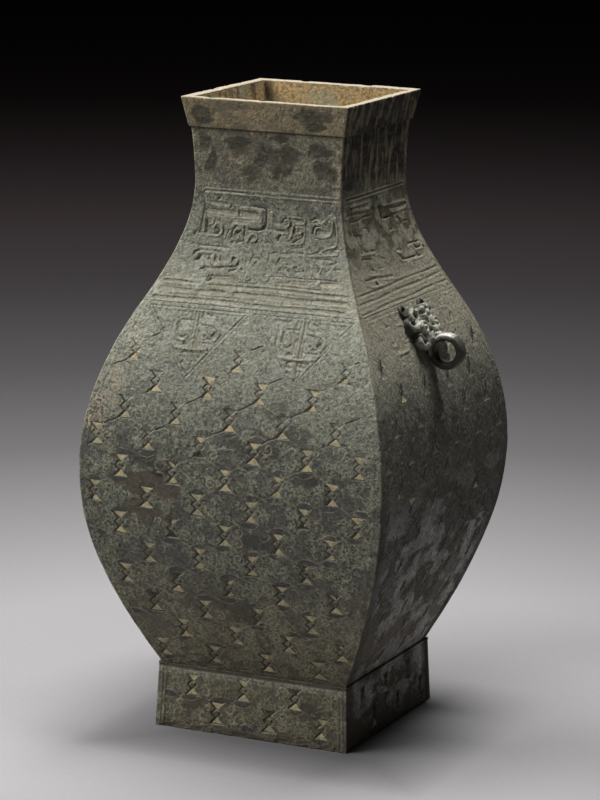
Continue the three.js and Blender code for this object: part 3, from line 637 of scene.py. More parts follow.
def panel(name, face, low, high, rows, shape, relief_of, spots=()):
    """A closed shell over one face of the body between two levels, with its relief."""
    along = np.linspace(along_at(low), along_at(high), rows + 1)
    level = level_at(along)
    half, slope = wall_at(level)
    across, out, lean, unrolled = section(half, shape.columns, shape.arris / MM)
    rows_up = np.broadcast_to(along[:, None], across.shape)
    levels = np.broadcast_to(level[:, None], across.shape)
    base = on_face(face, across, out, levels)
    size = np.hypot(1, slope)[:, None]
    normal = on_face(face, np.sin(lean) / size, np.cos(lean) / size, -slope[:, None] / size + 0 * lean)
    relief = relief_of(unrolled, rows_up, half[:, None] + 0 * across)
    front = base + normal * (shape.relief * relief + cast_surface(base))[..., None]
    back_half = half - shape.shell / MM * np.hypot(1, slope)
    back = [on_face(face, side * back_half, back_half, level) for side in (-1, 1)]
    count = (rows + 1) * across.shape[1]
    cols = across.shape[1]
    left = count + np.arange(rows + 1)
    right = left + rows + 1
    first = np.arange(rows + 1) * cols
    last = first + cols - 1
    strips = [
        np.stack([right[:-1], left[:-1], left[1:], right[1:]], -1),
        np.stack([left[:-1], first[:-1], first[1:], left[1:]], -1),
        np.stack([last[:-1], right[:-1], right[1:], last[1:]], -1),
    ]
    top = np.concatenate([first[-1] + np.arange(cols), [right[-1], left[-1]]])
    bottom = np.concatenate([first[0] + np.arange(cols), [right[0], left[0]]])[::-1]
    edge = (half - (1 - math.pi / 4) * shape.arris / MM)[:, None] - np.abs(unrolled)
    pad = np.zeros((2 * (rows + 1), 3))
    place = np.concatenate([np.stack([unrolled, rows_up, relief], -1).reshape(-1, 3), pad])
    field = ramp(0.0, 2.0, pendant_gap(unrolled, rows_up)) * ramp(BORDER, BORDER + 1, edge)
    field = field * (rows_up < along_at(PENDANT_TOP)) * ramp(2, 4, rows_up)
    zone = np.concatenate([np.stack([field, edge, 0 * edge + face], -1).reshape(-1, 3), pad])
    waist = np.concatenate([waist_places(unrolled, rows_up, spots).reshape(-1, 3), pad + FAR])
    stains = np.concatenate([stain_marks(face, unrolled, levels, base).reshape(-1, 3), pad])
    return mesh_object(
        name,
        np.concatenate([front.reshape(-1, 3), *back]),
        np.concatenate([grid_quads(rows + 1, cols), *strips]),
        rings=(top, bottom),
        attributes={"place": place, "zone": zone, "waist": waist, "stains": stains},
    )


def ring(name, rows, flat, radius, unevenness, relief_of=None, zone_of=None, spots_of=None):
    """A closed ring through square sections (half-width, level) that go up outside and down inside."""
    halves = np.array([r[0] for r in rows])
    levels = np.array([r[1] for r in rows])
    across, out, _, unrolled = section(halves, flat, radius)
    up = np.broadcast_to(levels[:, None], across.shape)
    parts = [on_face(face, across, out, up)[:, 1:] for face in range(4)]
    base = np.concatenate(parts, 1)
    count, cols = base.shape[:2]
    step = np.roll(base, -1, 0) - np.roll(base, 1, 0)
    turn = np.roll(base, -1, 1) - np.roll(base, 1, 1)
    normal = np.cross(turn, step)
    normal /= np.maximum(np.linalg.norm(normal, axis=-1, keepdims=True), 1e-9)
    flat_place = np.concatenate([unrolled[:, 1:]] * 4, 1)
    relief = np.zeros((count, cols))
    waist = np.full((count, cols, 3), FAR)
    stains = np.zeros((count, cols, 3))
    for face in range(4):
        cut = slice(face * (cols // 4), (face + 1) * (cols // 4))
        stains[:, cut] = stain_marks(face, flat_place[:, cut], up[:, 1:], base[:, cut])
        if relief_of:
            relief[:, cut] = relief_of(face, flat_place[:, cut], up[:, 1:], halves[:, None] + 0 * up[:, 1:])
            waist[:, cut] = waist_places(flat_place[:, cut], up[:, 1:], spots_of[face])
    points = base + normal * (relief + unevenness(base))[..., None]
    place = np.stack([flat_place, np.concatenate([up[:, 1:]] * 4, 1), relief], -1)
    edge = halves[:, None] - np.abs(flat_place)
    face_of = np.repeat(np.arange(4), cols // 4)[None, :] + 0 * edge
    field = zone_of(place, edge) if zone_of else 0 * edge
    zone = np.stack([field, edge, face_of], -1)
    return mesh_object(name, points.reshape(-1, 3), closed_quads(count, cols),
                       attributes={"place": place, "zone": zone, "waist": waist, "stains": stains})


def polyline(points, step):
    """A polyline resampled so that no piece is longer than step."""
    found = []
    for a, b in zip(points, points[1:]):
        parts = max(1, round(math.dist(a, b) / step))
        found += [(a[0] + (b[0] - a[0]) * k / parts, a[1] + (b[1] - a[1]) * k / parts)
                  for k in range(parts)]
    return found


CHAINED = ("ADD", "MULTIPLY", "MAXIMUM")
MIX = "ShaderNodeMix"
RANGE = "ShaderNodeMapRange"
NOISE = "ShaderNodeTexNoise"
BUMP = "ShaderNodeBump"
SMOOTH = {"interpolation_type": "SMOOTHSTEP"}


def give(made, values):
    """Puts values into a node's inputs by name or number. A node given as a value is linked by its
    first enabled output."""
    for key, value in values.items():
        if isinstance(value, bpy.types.Node):
            value = next(output for output in value.outputs if output.enabled)
        if isinstance(value, bpy.types.NodeSocket):
            made.id_data.links.new(value, made.inputs[key])
        elif value is not None:
            made.inputs[key].default_value = value


def node(tree, kind, *values, named=None, **settings):
    """Adds a node with its settings. Values go to its inputs in order. A kind in capitals is the
    operation of a Math node, and more than two values make a chain of it. A mix is one of colours
    unless its settings say otherwise."""
    if kind in CHAINED and len(values) > 2:
        values = (node(tree, kind, *values[:-1]), values[-1])
    if kind.isupper():
        kind, settings["operation"] = "ShaderNodeMath", kind
    if kind == MIX:
        settings = {"data_type": "RGBA", **settings}
    made = tree.nodes.new(kind)
    for key, value in settings.items():
        setattr(made, key, value)
    used = [index for index, socket in enumerate(made.inputs) if socket.enabled]
    give(made, {**dict(zip(used, values)), **(named or {})})
    return made


def lumps_of(size):
    """Scale of a noise whose lumps are about size millimetres across."""
    return 0.5 / (size * MM)


def new_material(name):
    """A material, what adds nodes to it, its shader and the object's coordinates."""
    material = bpy.data.materials.new(name)
    material.use_nodes = True
    material.node_tree.nodes.clear()
    add = partial(node, material.node_tree)
    shader = add("ShaderNodeBsdfPrincipled")
    add("ShaderNodeOutputMaterial", shader)
    return material, add, shader, add("ShaderNodeTexCoord").outputs["Object"]


def finish_shader(add, shader, colour_of, bumps, depth, rough, metal=0.0):
    """Gives a shader its colour, its fine relief of a depth in millimetres and its sheen."""
    normal = add(BUMP, 1.0, depth * MM, named={"Height": bumps})
    give(shader, {"Base Color": colour_of, "Normal": normal, "Roughness": rough, "Metallic": metal})


def stroke(add, value, place, start, full, strength=1.0):
    """A line along which a value is near a place: it starts at one distance and is full at another."""
    gap = add("ABSOLUTE", add("SUBTRACT", value, place))
    return add(RANGE, gap, start, full, 0.0, strength)


def surface_mark(add, name):
    """The three parts of a vector kept on the mesh, such as the place on a face in millimetres."""
    found = add("ShaderNodeAttribute", attribute_name=name).outputs["Vector"]
    return add("ShaderNodeSeparateXYZ", found).outputs


def patinated_bronze(name, colours, cell=None):
    """Leaded tin bronze, cast and buried: a smooth charcoal skin under a thin granular grey-green crust,
    which makes it matt and finely wormed, with a low sheen only where the skin is bare."""
    material, add, shader, at = new_material(name)
    across, along, relief = surface_mark(add, "place")
    field, edge, face = surface_mark(add, "zone")
    dark, loss, pink = surface_mark(add, "stains")
    height = add("DIVIDE", add("ShaderNodeSeparateXYZ", at).outputs[2], MM)
    rise = add("ShaderNodeNewGeometry").outputs["True Normal"]
    rise = add("ShaderNodeSeparateXYZ", rise).outputs[2]
    side = add("PINGPONG", face, 1.0)
    broad = add(NOISE, at, lumps_of(16), 3.0, 0.6)
    middle = add(NOISE, at, lumps_of(4.5), 3.0, 0.65)
    fine = add(NOISE, at, lumps_of(1.0), 3.0, 0.75)
    wander = add(NOISE, at, lumps_of(1.6), 2.0, 0.6, None, 0.8)
    worms = stroke(add, wander, 0.5, 0.05, 0.01)
    specks = add("ShaderNodeSeparateXYZ", wander.outputs["Color"]).outputs

    # The crust: over most of the surface, thin or gone over the rest.
    crust = add("MULTIPLY_ADD", broad, 0.8, middle)
    crust = add(RANGE, crust, 0.8, 0.96, 0.3, 1.0, **SMOOTH)
    kept = add(RANGE, add("MAXIMUM", dark, loss), 0.0, 1.0, 1.0, 0.2)
    crust = add("MULTIPLY", crust, kept)

    skin = add(MIX, add(RANGE, middle, 0.38, 0.66), colours.skin, colours.skin_brown)
    green = add(MIX, add(RANGE, fine, 0.41, 0.59), colours.crust_dark, colours.crust)
    green = add(MIX, add(RANGE, specks[0], 0.6, 0.68, 0.0, 0.5), green, colours.teal)
    green = add(MIX, add(RANGE, specks[1], 0.6, 0.68, 0.0, 0.5), green, colours.pink)
    base = add(MIX, add("MULTIPLY", crust, 0.9), skin, green)
    grain = add(RANGE, fine, 0.36, 0.56, 0.45, 0.95)
    # The crests of the wormed crust are painted pale, partly their own colour and partly a painted
    # highlight.
    crests = add("MULTIPLY", worms, crust)
    more_on_sides = add(RANGE, side, 0.0, 1.0, 1.0, 1.9)
    cracks = add("MULTIPLY", stroke(add, specks[2], 0.5, 0.035, 0.0, 0.5), more_on_sides)
    pinker = add("MULTIPLY", pink, add(RANGE, fine, 0.44, 0.56), 0.85)
    # The coats are laid over the base in this order, each over its own share of the surface.
    coats = [(add("MULTIPLY", loss, grain), colours.loss),
             (add("MULTIPLY", crests, 0.55), colours.crust_pale),
             (cracks, colours.hollow), (pinker, colours.pink)]

    # Dust pales what faces up; this paling is partly painted top light. The side faces are painted
    # paler above, as top light, and darker and browner below, as shade.
    dusty = add(RANGE, fine, 0.36, 0.56, 0.4, 1.0)
    dust_and_top_light = add("MULTIPLY", add(RANGE, rise, 0.1, 0.5, 0.0, 0.8), dusty)
    pale = add("MULTIPLY", add(RANGE, height, 215, 258, 0.0, 0.8),
               add(RANGE, height, 340, 320, 0.2, 1.0), dusty, side)
    brown = add("MULTIPLY", side, add(RANGE, height, 245, 205, 0.0, 0.75),
                add(RANGE, fine, 0.4, 0.56, 1.3, 0.7))
    coats += [(dust_and_top_light, colours.crust_pale), (pale, colours.crust_tan), (brown, colours.hollow)]

    # Ochre stains the collar, the neck's top and the foot, between bare dark patches.
    upper = add(RANGE, height, 335, 352)
    ochre = add("MULTIPLY",
                add("MAXIMUM", add("MULTIPLY", add(RANGE, height, 378, 384, 0.3, 1.0), upper),
                    add(RANGE, height, 125, 60, 0.0, 0.4)),
                add(RANGE, middle, 0.35, 0.6, 0.3, 0.75))
    patch = add("MULTIPLY", dark, add(RANGE, upper, 0.0, 1.0, 0.35, 0.85))
    dull = add("MULTIPLY", add(RANGE, height, 60, 40, 0.0, 0.3),
               add(RANGE, fine, 0.4, 0.56, 1.0, 0.3))
    coats += [(ochre, colours.ochre), (patch, colours.patch), (dull, colours.patch)]

    # High on the side faces the skin is nearly black, with olive runs down it.
    runs = add("ShaderNodeMapping", at, named={"Scale": (1.0, 1.0, 0.25)})
    runs = add(NOISE, runs, lumps_of(2.5), 3.0, 0.6)
    upper_side = add("MULTIPLY", side, upper)
    shade = add("MULTIPLY", upper_side, add(RANGE, runs, 0.47, 0.56, 0.97, 0.35))
    olive = add("MULTIPLY", upper_side, add(RANGE, runs, 0.52, 0.6, 0.0, 0.6))
    coats += [(shade, colours.soot), (olive, colours.ochre)]

    # Below them, down to the ribs, brown losses and pale crust lie side by side.
    mottle = add(NOISE, at, lumps_of(7), 3.0, 0.65)
    reach = add("MULTIPLY", add("SUBTRACT", add(RANGE, height, 292, 312), upper), 0.9, side)
    # A dark line of painted shadow runs beside the side faces' arrises from level 255 upwards.
    groove = add("MULTIPLY", add(RANGE, edge, 0.4, 1.0), add(RANGE, edge, 2.6, 1.6),
                 add(RANGE, height, 255, 290, 0.0, 0.7), side)
    coats += [(add("MULTIPLY", add(RANGE, mottle, 0.49, 0.54), reach), colours.loss),
              (add("MULTIPLY", add(RANGE, mottle, 0.46, 0.36), reach), colours.crust_pale),
              (groove, colours.hollow)]

    if cell:
        line, wing, slash = diaper_marks(add, at, across, along, field, middle, side, cell)
        line = add("MULTIPLY", line, add(RANGE, loss, 0.0, 1.0, 1.0, 0.2))
        # The hourglasses get painted highlights on their rims, in the lines' colour, and painted shadow
        # down their left sides, in the hollows' colour.
        bright, slit, gash = hourglass_marks(add)
        slit = add("MAXIMUM", slit, slash, add("MULTIPLY", gash, side))
        coats += [(add("MULTIPLY", wing, 0.92), colours.skin), (add("MULTIPLY", line, 0.7), colours.line),
                  (add("MULTIPLY", bright, 0.8), colours.line), (slit, colours.hollow)]
    else:
        # Tan dirt lies in level streaks on the ribs and the lower scrolls.
        level = add("ShaderNodeMapping", at, named={"Scale": (0.25, 0.25, 1.0)})
        streak = add("MULTIPLY", add(RANGE, add(NOISE, level, lumps_of(1.8), 3.0, 0.65), 0.47, 0.62),
                     add(RANGE, height, 315, 285, 0.15, 0.75))
        coats += [(streak, colours.streak)]

    # Earth in the hollows, and tan on their sides and on what stands out, partly wear and partly painted
    # highlight, more so on the side faces. The deepest places are darkened: earth in the empty recesses
    # of the hourglasses, painted shade in the deep slits of the strokes.
    raised = add("MULTIPLY", add(RANGE, add("ABSOLUTE", relief), 0.15, 0.5, 0.0, 0.3),
                 add(RANGE, shade, 0.0, 0.5, 1.0, 2.4), more_on_sides)
    paste = add("MULTIPLY", add(RANGE, relief, -0.3, -0.5), add(RANGE, middle, 0.35, 0.6, 0.2, 0.9))
    if cell:
        paste = add("MULTIPLY", paste, add(RANGE, side, 0.0, 1.0, 1.0, 0.15))
    deep = (-0.55, -0.75) if cell else (-0.72, -0.9)
    worn = add("MULTIPLY", add(RANGE, edge, 1.4, 0.3, **SMOOTH), add(RANGE, middle, 0.4, 0.6, 0.1, 0.7))
    rust = add(RANGE, add(NOISE, at, lumps_of(8), 3.0, 0.75), 0.64, 0.74, 0.0, 0.4)
    coats += [(raised, colours.crust_tan), (paste, colours.fill_dark if cell else colours.streak),
              (add(RANGE, relief, *deep, 0.0, 0.9), colours.hollow), (worn, colours.crust_tan),
              (rust, colours.rust)]

    # Low on the side faces the skin is bare and polished in ragged patches that catch the floor.
    strip = add("MULTIPLY", side, add(RANGE, edge, 13.0, 7.0),
                add(RANGE, height, 170, 130, 0.0, 0.55))
    wide = add("ShaderNodeMapping", at, named={"Scale": (1.0, 0.7, 1.2)})
    bare = add("MULTIPLY", add(RANGE, add(NOISE, wide, lumps_of(9), 3.0, 0.55), 0.475, 0.55, **SMOOTH),
               add(RANGE, middle, 0.4, 0.6, 0.45, 1.0), add(RANGE, fine, 0.4, 0.55, 0.5, 1.0))
    if cell:
        bare = add("MULTIPLY", bare, add(RANGE, slit, 0.0, 0.6, 1.0, 0.0),
                   add(RANGE, wing, 0.0, 1.0, 1.0, 0.4))
    bare = add("MULTIPLY", bare, add(RANGE, edge, 7.0, 13.0), side,
               add(RANGE, height, 185, 140, 0.0, 0.95), add(RANGE, height, 4, 20))
    low = add("MULTIPLY", side, add(RANGE, height, 60, 40, 0.0, 0.4))
    coats += [(strip, colours.hollow), (low, colours.hollow)]
    if name.startswith("foot"):
        band = add("MULTIPLY", add(RANGE, height, 34.5, 36), add(RANGE, side, 0.0, 1.0, 0.6, 0.1),
                   add(RANGE, fine, 0.42, 0.55, 0.2, 1.0))
        joint = add(RANGE, height, 38.4, 39.2, 0.0, 0.8)
        coats += [(band, colours.crust_pale), (joint, colours.skin_brown)]
    rim = add("MULTIPLY", add(RANGE, height, 5, 2), grain)
    charred = add("MULTIPLY", dark, loss, 0.85)
    coats += [(rim, colours.loss), (bare, colours.bare), (charred, colours.soot)]
    for amount, tint in coats:
        base = add(MIX, amount, base, tint)

    bumps = add("MULTIPLY", fine, add(RANGE, crust, 0.0, 1.0, 0.05, 0.5))
    marks = [(crests, 0.22), (cracks, -0.35), (middle, 0.5), (crust, 0.15)]
    if cell:
        marks += [(line, 0.15), (bright, 0.25), (slit, -0.5)]
    for mark, gain in marks:
        bumps = add("MULTIPLY_ADD", mark, gain, bumps)
    rough = add(RANGE, crust, 0.0, 1.0, 0.45, 0.85)
    rough = add(MIX, bare, rough, 0.3, data_type="FLOAT")
    metal = add("MAXIMUM", add(RANGE, crust, 0.0, 1.0, 0.25, 0.0), bare)
    finish_shader(add, shader, base, bumps, 1.0, rough, metal)
    return material


def hourglass_marks(add):
    """Painted highlights on the rims of each hourglass and of the diamond at its waist, a slit of painted
    shadow down its left side and a short dark gash across it, drawn from the place round its waist in
    millimetres."""
    px, py, mark = surface_mark(add, "waist")
    qx = add("ABSOLUTE", px)
    qy = add("ABSOLUTE", py)
    inside = add(RANGE, qy, 7.2, 6.8)

    # The slit of painted shadow follows the left sides of the upper triangle, the diamond and the lower
    # triangle.
    bend = add("ABSOLUTE", add("SUBTRACT", qy, 2.8))
    left = add("ADD", px, 0.7, bend)
    slit = add("MULTIPLY", stroke(add, left, 0.0, 0.95, 0.55), add(RANGE, qy, REACH_DOWN, REACH_UP))
    corner = add("ABSOLUTE", add("SUBTRACT", px, 1.9))
    corner = add(RANGE, add("ADD", corner, qy), 1.5, 0.9)
    slit = add("MAXIMUM", slit, corner)

    # Painted highlights on the rim from the upper triangle's right corner to the diamond, on the
    # diamond's lower right side and on the rim under the lower triangle.
    climb = add("MULTIPLY_ADD", py, -1.1, px)
    upper = add("MULTIPLY", stroke(add, climb, -2.5, 0.7, 0.3), add(RANGE, py, 0.2, 0.6),
                add(RANGE, py, 2.4, 3.4, 0.5, 1.0))
    down = add("SUBTRACT", px, py)
    lower = add("MULTIPLY", stroke(add, down, 2.7, 0.6, 0.25, 0.5), add(RANGE, qy, 2.6, WAIST_GAP),
                add(RANGE, px, 0.0, 0.4))
    under = add("MULTIPLY", stroke(add, py, -REACH_DOWN, 0.45, 0.15, 0.8), add(RANGE, qx, 4.9, 4.5))
    bright = add("MAXIMUM", upper, lower, under)

    # The side faces' gash runs through the waist.
    gash = stroke(add, add("MULTIPLY_ADD", py, -0.35, px), 0.0, 2.0, 0.9)
    gash = add("MULTIPLY", gash, add(RANGE, qy, 6.0, 4.2))
    slit = add("MULTIPLY", add(RANGE, mark, 0.0, 0.5, 0.6, 1.0), inside, slit)
    return add("MULTIPLY", bright, inside), slit, gash


def diaper_marks(add, at, across, along, field, crusted, side, cell):
    """Fine inlaid lines and curls round the hourglasses, dark smooth lenses beyond their ends, and high
    on the belly slits of painted shadow with a painted highlight on their lower lips, drawn from the
    place across and along a face in millimetres."""
    wide, high, start_across, start_along, lean, drop = cell
    shake = add(NOISE, at, lumps_of(3.5), 2.0, 0.5).outputs["Color"]
    shake = add("ShaderNodeSeparateXYZ", shake).outputs
    ax = add("MULTIPLY_ADD", shake[0], 2.6, add("SUBTRACT", across, start_across + 1.3))
    ay = add("MULTIPLY_ADD", shake[1], 2.6, add("SUBTRACT", along, start_along + 1.3))
    straight = add("MULTIPLY_ADD", ay, -lean, ax)
    ay = add("MULTIPLY_ADD", ax, drop, ay)
    ax = add("WRAP", straight, wide / 2, -wide / 2)
    ay = add("WRAP", ay, high / 2, -high / 2)
    bx = add("SUBTRACT", ax, wide / 2)
    bx = add("WRAP", bx, wide / 2, -wide / 2)
    by = add("SUBTRACT", ay, high / 2)
    by = add("WRAP", by, high / 2, -high / 2)
    share = add("MULTIPLY", add("ABSOLUTE", ax), 2 / wide)
    share = add("MULTIPLY_ADD", add("ABSOLUTE", ay), 2 / high, share)
    other = add("GREATER_THAN", share, 1.0)
    px = add(MIX, other, ax, bx, data_type="FLOAT")
    py = add(MIX, other, ay, by, data_type="FLOAT")
    qx = add("ABSOLUTE", px)
    qy = add("ABSOLUTE", py)

    # Curls beside the waist.
    cx = add("SUBTRACT", qx, 9.3)
    cy = add("SUBTRACT", qy, 4.0)
    radius = add("MULTIPLY", cx, cx)
    radius = add("SQRT", add("MULTIPLY_ADD", cy, cy, radius))
    phase = add("ARCTAN2", cy, cx)
    phase = add("MULTIPLY_ADD", phase, CURL_PITCH / math.tau, radius)
    phase = add("WRAP", phase, CURL_PITCH / 2, -CURL_PITCH / 2)
    curl = add("MULTIPLY", stroke(add, phase, 0.0, 0.7, 0.3, 0.85), add(RANGE, radius, 4.4, 3.9))

    # Thin straight lines to the next hourglasses, and others that cross them half way.
    climb = add("MULTIPLY_ADD", qx, -0.5, qy)
    straight = add("MULTIPLY", stroke(add, climb, LINE_START, 0.55, 0.2, 0.8), add(RANGE, qx, 4.2, 4.7))
    crossing = add("MULTIPLY_ADD", qx, 0.57, qy)
    crossing = stroke(add, crossing, 14.2, 0.5, 0.2, 0.5)
    shown = add(NOISE, at, lumps_of(6), 2.0, 0.5, None, 0.3)
    line = add("MULTIPLY", add("MAXIMUM", crossing, curl), add(RANGE, shown, 0.46, 0.58))
    straight = add("MULTIPLY", straight, add(RANGE, shown, 0.36, 0.5, 0.3, 1.0))
    line = add("MAXIMUM", straight, line)

    # A lens beyond each end, flat against the hourglass and arched on its other side.
    sign = add("SIGN", py)
    lens_x = add("SUBTRACT", add("MULTIPLY", px, sign), 1.8)
    arch = add("MULTIPLY_ADD", add("MULTIPLY", lens_x, lens_x), -4.2 / 81, 11.0)
    wing = add("MULTIPLY", add(RANGE, add("SUBTRACT", arch, qy), 0.0, 0.7), add(RANGE, qy, 6.7, 7.1))
    rim = add("MULTIPLY", stroke(add, arch, qy, 0.45, 0.15, 0.6), add(RANGE, qy, 6.9, 7.3),
              add(RANGE, shown, 0.58, 0.5))
    line = add("MAXIMUM", line, rim)
    less_on_sides = add(RANGE, side, 0.0, 1.0, 1.0, 0.3)
    wing = add("MULTIPLY", wing, add(RANGE, shown, 0.56, 0.44), add(RANGE, along, 180.0, 150.0, 0.15, 1.0),
               less_on_sides)

    # High on the belly the lines that climb to the right are painted as open slits: a dark line of
    # painted shadow with a painted highlight on its lower lip, fewer of them on a side face.
    slash = add("MULTIPLY", add("GREATER_THAN", add("MULTIPLY", px, py), 0.0), add(RANGE, qx, 3.6, 4.4))
    opened = add("MULTIPLY", add(RANGE, along, 135.0, 165.0), less_on_sides)
    slash = add("MULTIPLY", slash, opened, add(RANGE, shown, 0.4, 0.47, 0.15, 1.0))
    slit = add("MULTIPLY", slash, stroke(add, climb, LINE_START, 0.8, 0.35))
    lip = add("MULTIPLY", slash, stroke(add, add("ADD", climb, sign), LINE_START, 0.55, 0.2))
    line = add("MAXIMUM", line, lip)

    line = add("MULTIPLY", add(RANGE, crusted, 0.36, 0.5), less_on_sides, field, line)
    return line, add("MULTIPLY", wing, field), add("MULTIPLY", slit, field)


def clay_fill(name, colours):
    """Clay and copper-salt paste pressed into the recesses: matt, chalky, tan and crumbling."""
    material, add, shader, at = new_material(name)
    grit = add(NOISE, at, lumps_of(1.0), 3.0, 0.7)
    stain = add(NOISE, at, lumps_of(12), 2.0, 0.6)
    base = add(MIX, add(RANGE, grit, 0.35, 0.6), colours.fill_dark, colours.fill)
    base = add(MIX, add(RANGE, stain, 0.52, 0.7, 0.0, 0.8), base, colours.crust)
    finish_shader(add, shader, base, grit, 0.4, 0.9)
    return material


def worn_lip(name, colours):
    """The lip's flat top, worn and scraped clean by the lid and by hands: pale tan and dry, with dark
    pits left in it."""
    material, add, shader, at = new_material(name)
    grit = add(NOISE, at, lumps_of(1.2), 3.0, 0.7)
    stain = add(NOISE, at, lumps_of(6), 2.0, 0.6)
    base = add(MIX, add(RANGE, grit, 0.3, 0.48), colours.earth, colours.lip)
    base = add(MIX, add(RANGE, stain, 0.6, 0.74, 0.0, 0.6), base, colours.crust_tan)
    finish_shader(add, shader, base, grit, 0.4, 0.7)
    return material


def buried_inside(name, colours):
    """The inside of the casting, never polished: ochre earth and green bloom over brown bronze, with
    streaks where the wine and the ground water ran."""
    material, add, shader, at = new_material(name)
    stretched = add("ShaderNodeMapping", at, named={"Scale": (1.0, 1.0, 0.16)})
    streak = add(NOISE, stretched, lumps_of(4), 2.0, 0.6)
    lump = add(NOISE, at, lumps_of(7), 3.0, 0.65)
    grit = add(NOISE, at, lumps_of(1.0), 3.0, 0.7)
    base = add(MIX, add(RANGE, grit, 0.36, 0.6), colours.earth_dark, colours.earth)
    base = add(MIX, add(RANGE, lump, 0.52, 0.64, 0.0, 0.65), base, colours.crust)
    sideways = add("ABSOLUTE", add("ShaderNodeSeparateXYZ", at))
    streak = add("MULTIPLY", add(RANGE, streak, 0.5, 0.6, 0.0, 0.8),
                 add(RANGE, sideways, 0.042, 0.046, 0.15, 1.0))
    base = add(MIX, streak, base, colours.skin_brown)
    bumps = add("MULTIPLY_ADD", grit, 0.8, lump)
    finish_shader(add, shader, base, bumps, 0.6, 0.88)
    return material


def rubbed_bronze(name, colours):
    """The masks' bronze: handled more than the walls, so its high places are a silvery grey-green with a
    soft gleam, and its hollows keep dark earth. On the loops a painted highlight whitens the top of the
    outer side and painted shade darkens the rest of it."""
    material, add, shader, at = new_material(name)
    depth = surface_mark(add, "place")[2]
    lump = add(NOISE, at, lumps_of(4), 3.0, 0.6)
    grit = add(NOISE, at, lumps_of(0.9), 3.0, 0.7)
    base = add(MIX, add(RANGE, grit, 0.36, 0.62), colours.mask_dark, colours.mask)
    base = add(MIX, add(RANGE, lump, 0.54, 0.68, 0.0, 0.7), base, colours.crust_tan)
    # Low places keep dark earth; on a loop the same mark is painted shade over the outer side away from the
    # top lamp.
    base = add(MIX, add(RANGE, depth, 0.35, 0.0, 0.0, 0.9), base, colours.hollow)
    base = add(MIX, add(RANGE, depth, -0.5, -1.0, 0.0, 0.7), base, colours.skin_brown)
    # On a loop the top of the outer side is painted white-grey as a highlight and made less rough; the
    # masks' highest places get a little of it too.
    polish_and_highlight = add(RANGE, depth, 1.3, 1.8)
    base = add(MIX, polish_and_highlight, base, colours.polish_and_highlight)
    rough = add("MULTIPLY_ADD", polish_and_highlight, -0.2, add(RANGE, lump, 0.35, 0.65, 0.45, 0.7))
    finish_shader(add, shader, base, grit, 0.3, rough, 0.2)
    return material


def old_solder(name, colours):
    """Tin and lead solder, poured round the tenon and never cleaned: dull grey, dimpled, with white
    and tan oxide in the dimples."""
    material, add, shader, at = new_material(name)
    lump = add(NOISE, at, lumps_of(3.5), 3.0, 0.6)
    grit = add(NOISE, at, lumps_of(0.9), 2.0, 0.7)
    base = add(MIX, add(RANGE, grit, 0.36, 0.62), colours.solder_dark, colours.solder)
    base = add(MIX, add(RANGE, lump, 0.54, 0.66), base, colours.earth)
    bumps = add("MULTIPLY_ADD", lump, 2.0, grit)
    finish_shader(add, shader, base, bumps, 0.4, 0.6, 0.5)
    return material


def studio_paper(name, stage):
    """Matt seamless paper: pale where the vessel stands, darker towards the back, faintly fibrous."""
    material, add, shader, at = new_material(name)
    far = add("ShaderNodeVectorMath", at, operation="LENGTH").outputs["Value"]
    stops = ((0.31, stage.tone_near), (0.52, stage.tone_close), (0.79, stage.tone_middle),
             (1.13, stage.tone_far), (1.6, stage.tone_dark), (2.1, stage.tone_deep),
             (3.3, stage.tone_edge), (5.0, stage.tone_end))
    wide = stops[-1][0]
    bands = add("ShaderNodeValToRGB", add("DIVIDE", far, wide))
    points = bands.color_ramp.elements
    while len(points) < len(stops):
        points.new(0.5)
    for point, (distance, grey) in zip(points, stops):
        point.position = distance / wide
        point.color = (*grey, 1.0)
    fibre_and_painted_light = add(RANGE, add(NOISE, at, lumps_of(2.0), 2.0, 0.6), 0.3, 0.7, 0.96, 1.0)
    # A soft shade is painted on the paper before the foot and at its right, and painted light makes the
    # paper paler beyond.
    x, y, _ = add("ShaderNodeSeparateXYZ", at).outputs
    x = add("ABSOLUTE", add("SUBTRACT", x, 20 * MM))
    beside = add("ABSOLUTE", add("ADD", y, 8 * MM))
    shade = add("MULTIPLY", add(RANGE, add("MAXIMUM", x, beside), 67 * MM, 122 * MM, 0.5, 0.0),
                add(RANGE, y, 30 * MM, -10 * MM))
    light = add("SUBTRACT", 1.0, shade)
    for place, reach, gain in (((0.13, -0.075, 0), 0.09, -0.22), ((0.185, 0.12, 0), 0.15, 0.4),
                               ((-0.1, -0.16, 0), 0.16, 0.22)):
        away = add("ShaderNodeVectorMath", at, place, operation="DISTANCE").outputs["Value"]
        light = add("MULTIPLY", light, add(RANGE, away, 0.0, reach, 1 + gain, 1.0, **SMOOTH))
    fibre_and_painted_light = add("MULTIPLY", fibre_and_painted_light, light)
    base = add("ShaderNodeVectorMath", bands, fibre_and_painted_light, operation="MULTIPLY")
    give(shader, {"Base Color": base, "Roughness": 0.95, "Specular IOR Level": 0.1})
    return material


def colour(label, hex_colour, note, size=4):
    return FloatVectorProperty(name=label, description=note, subtype="COLOR", size=size, min=0, max=1,
                               default=linear(hex_colour)[:size])


def length(label, value, note):
    return FloatProperty(name=label, description=note, default=value, unit="LENGTH")


def degrees(label, value, note):
    return FloatProperty(name=label, description=note, default=math.radians(value), subtype="ANGLE")


def fraction(label, value, note):
    return FloatProperty(name=label, description=note, default=value, min=0, max=1, subtype="FACTOR")


def number(label, value, note):
    return FloatProperty(name=label, description=note, default=value)


def whole(label, value, note):
    return IntProperty(name=label, description=note, default=value)


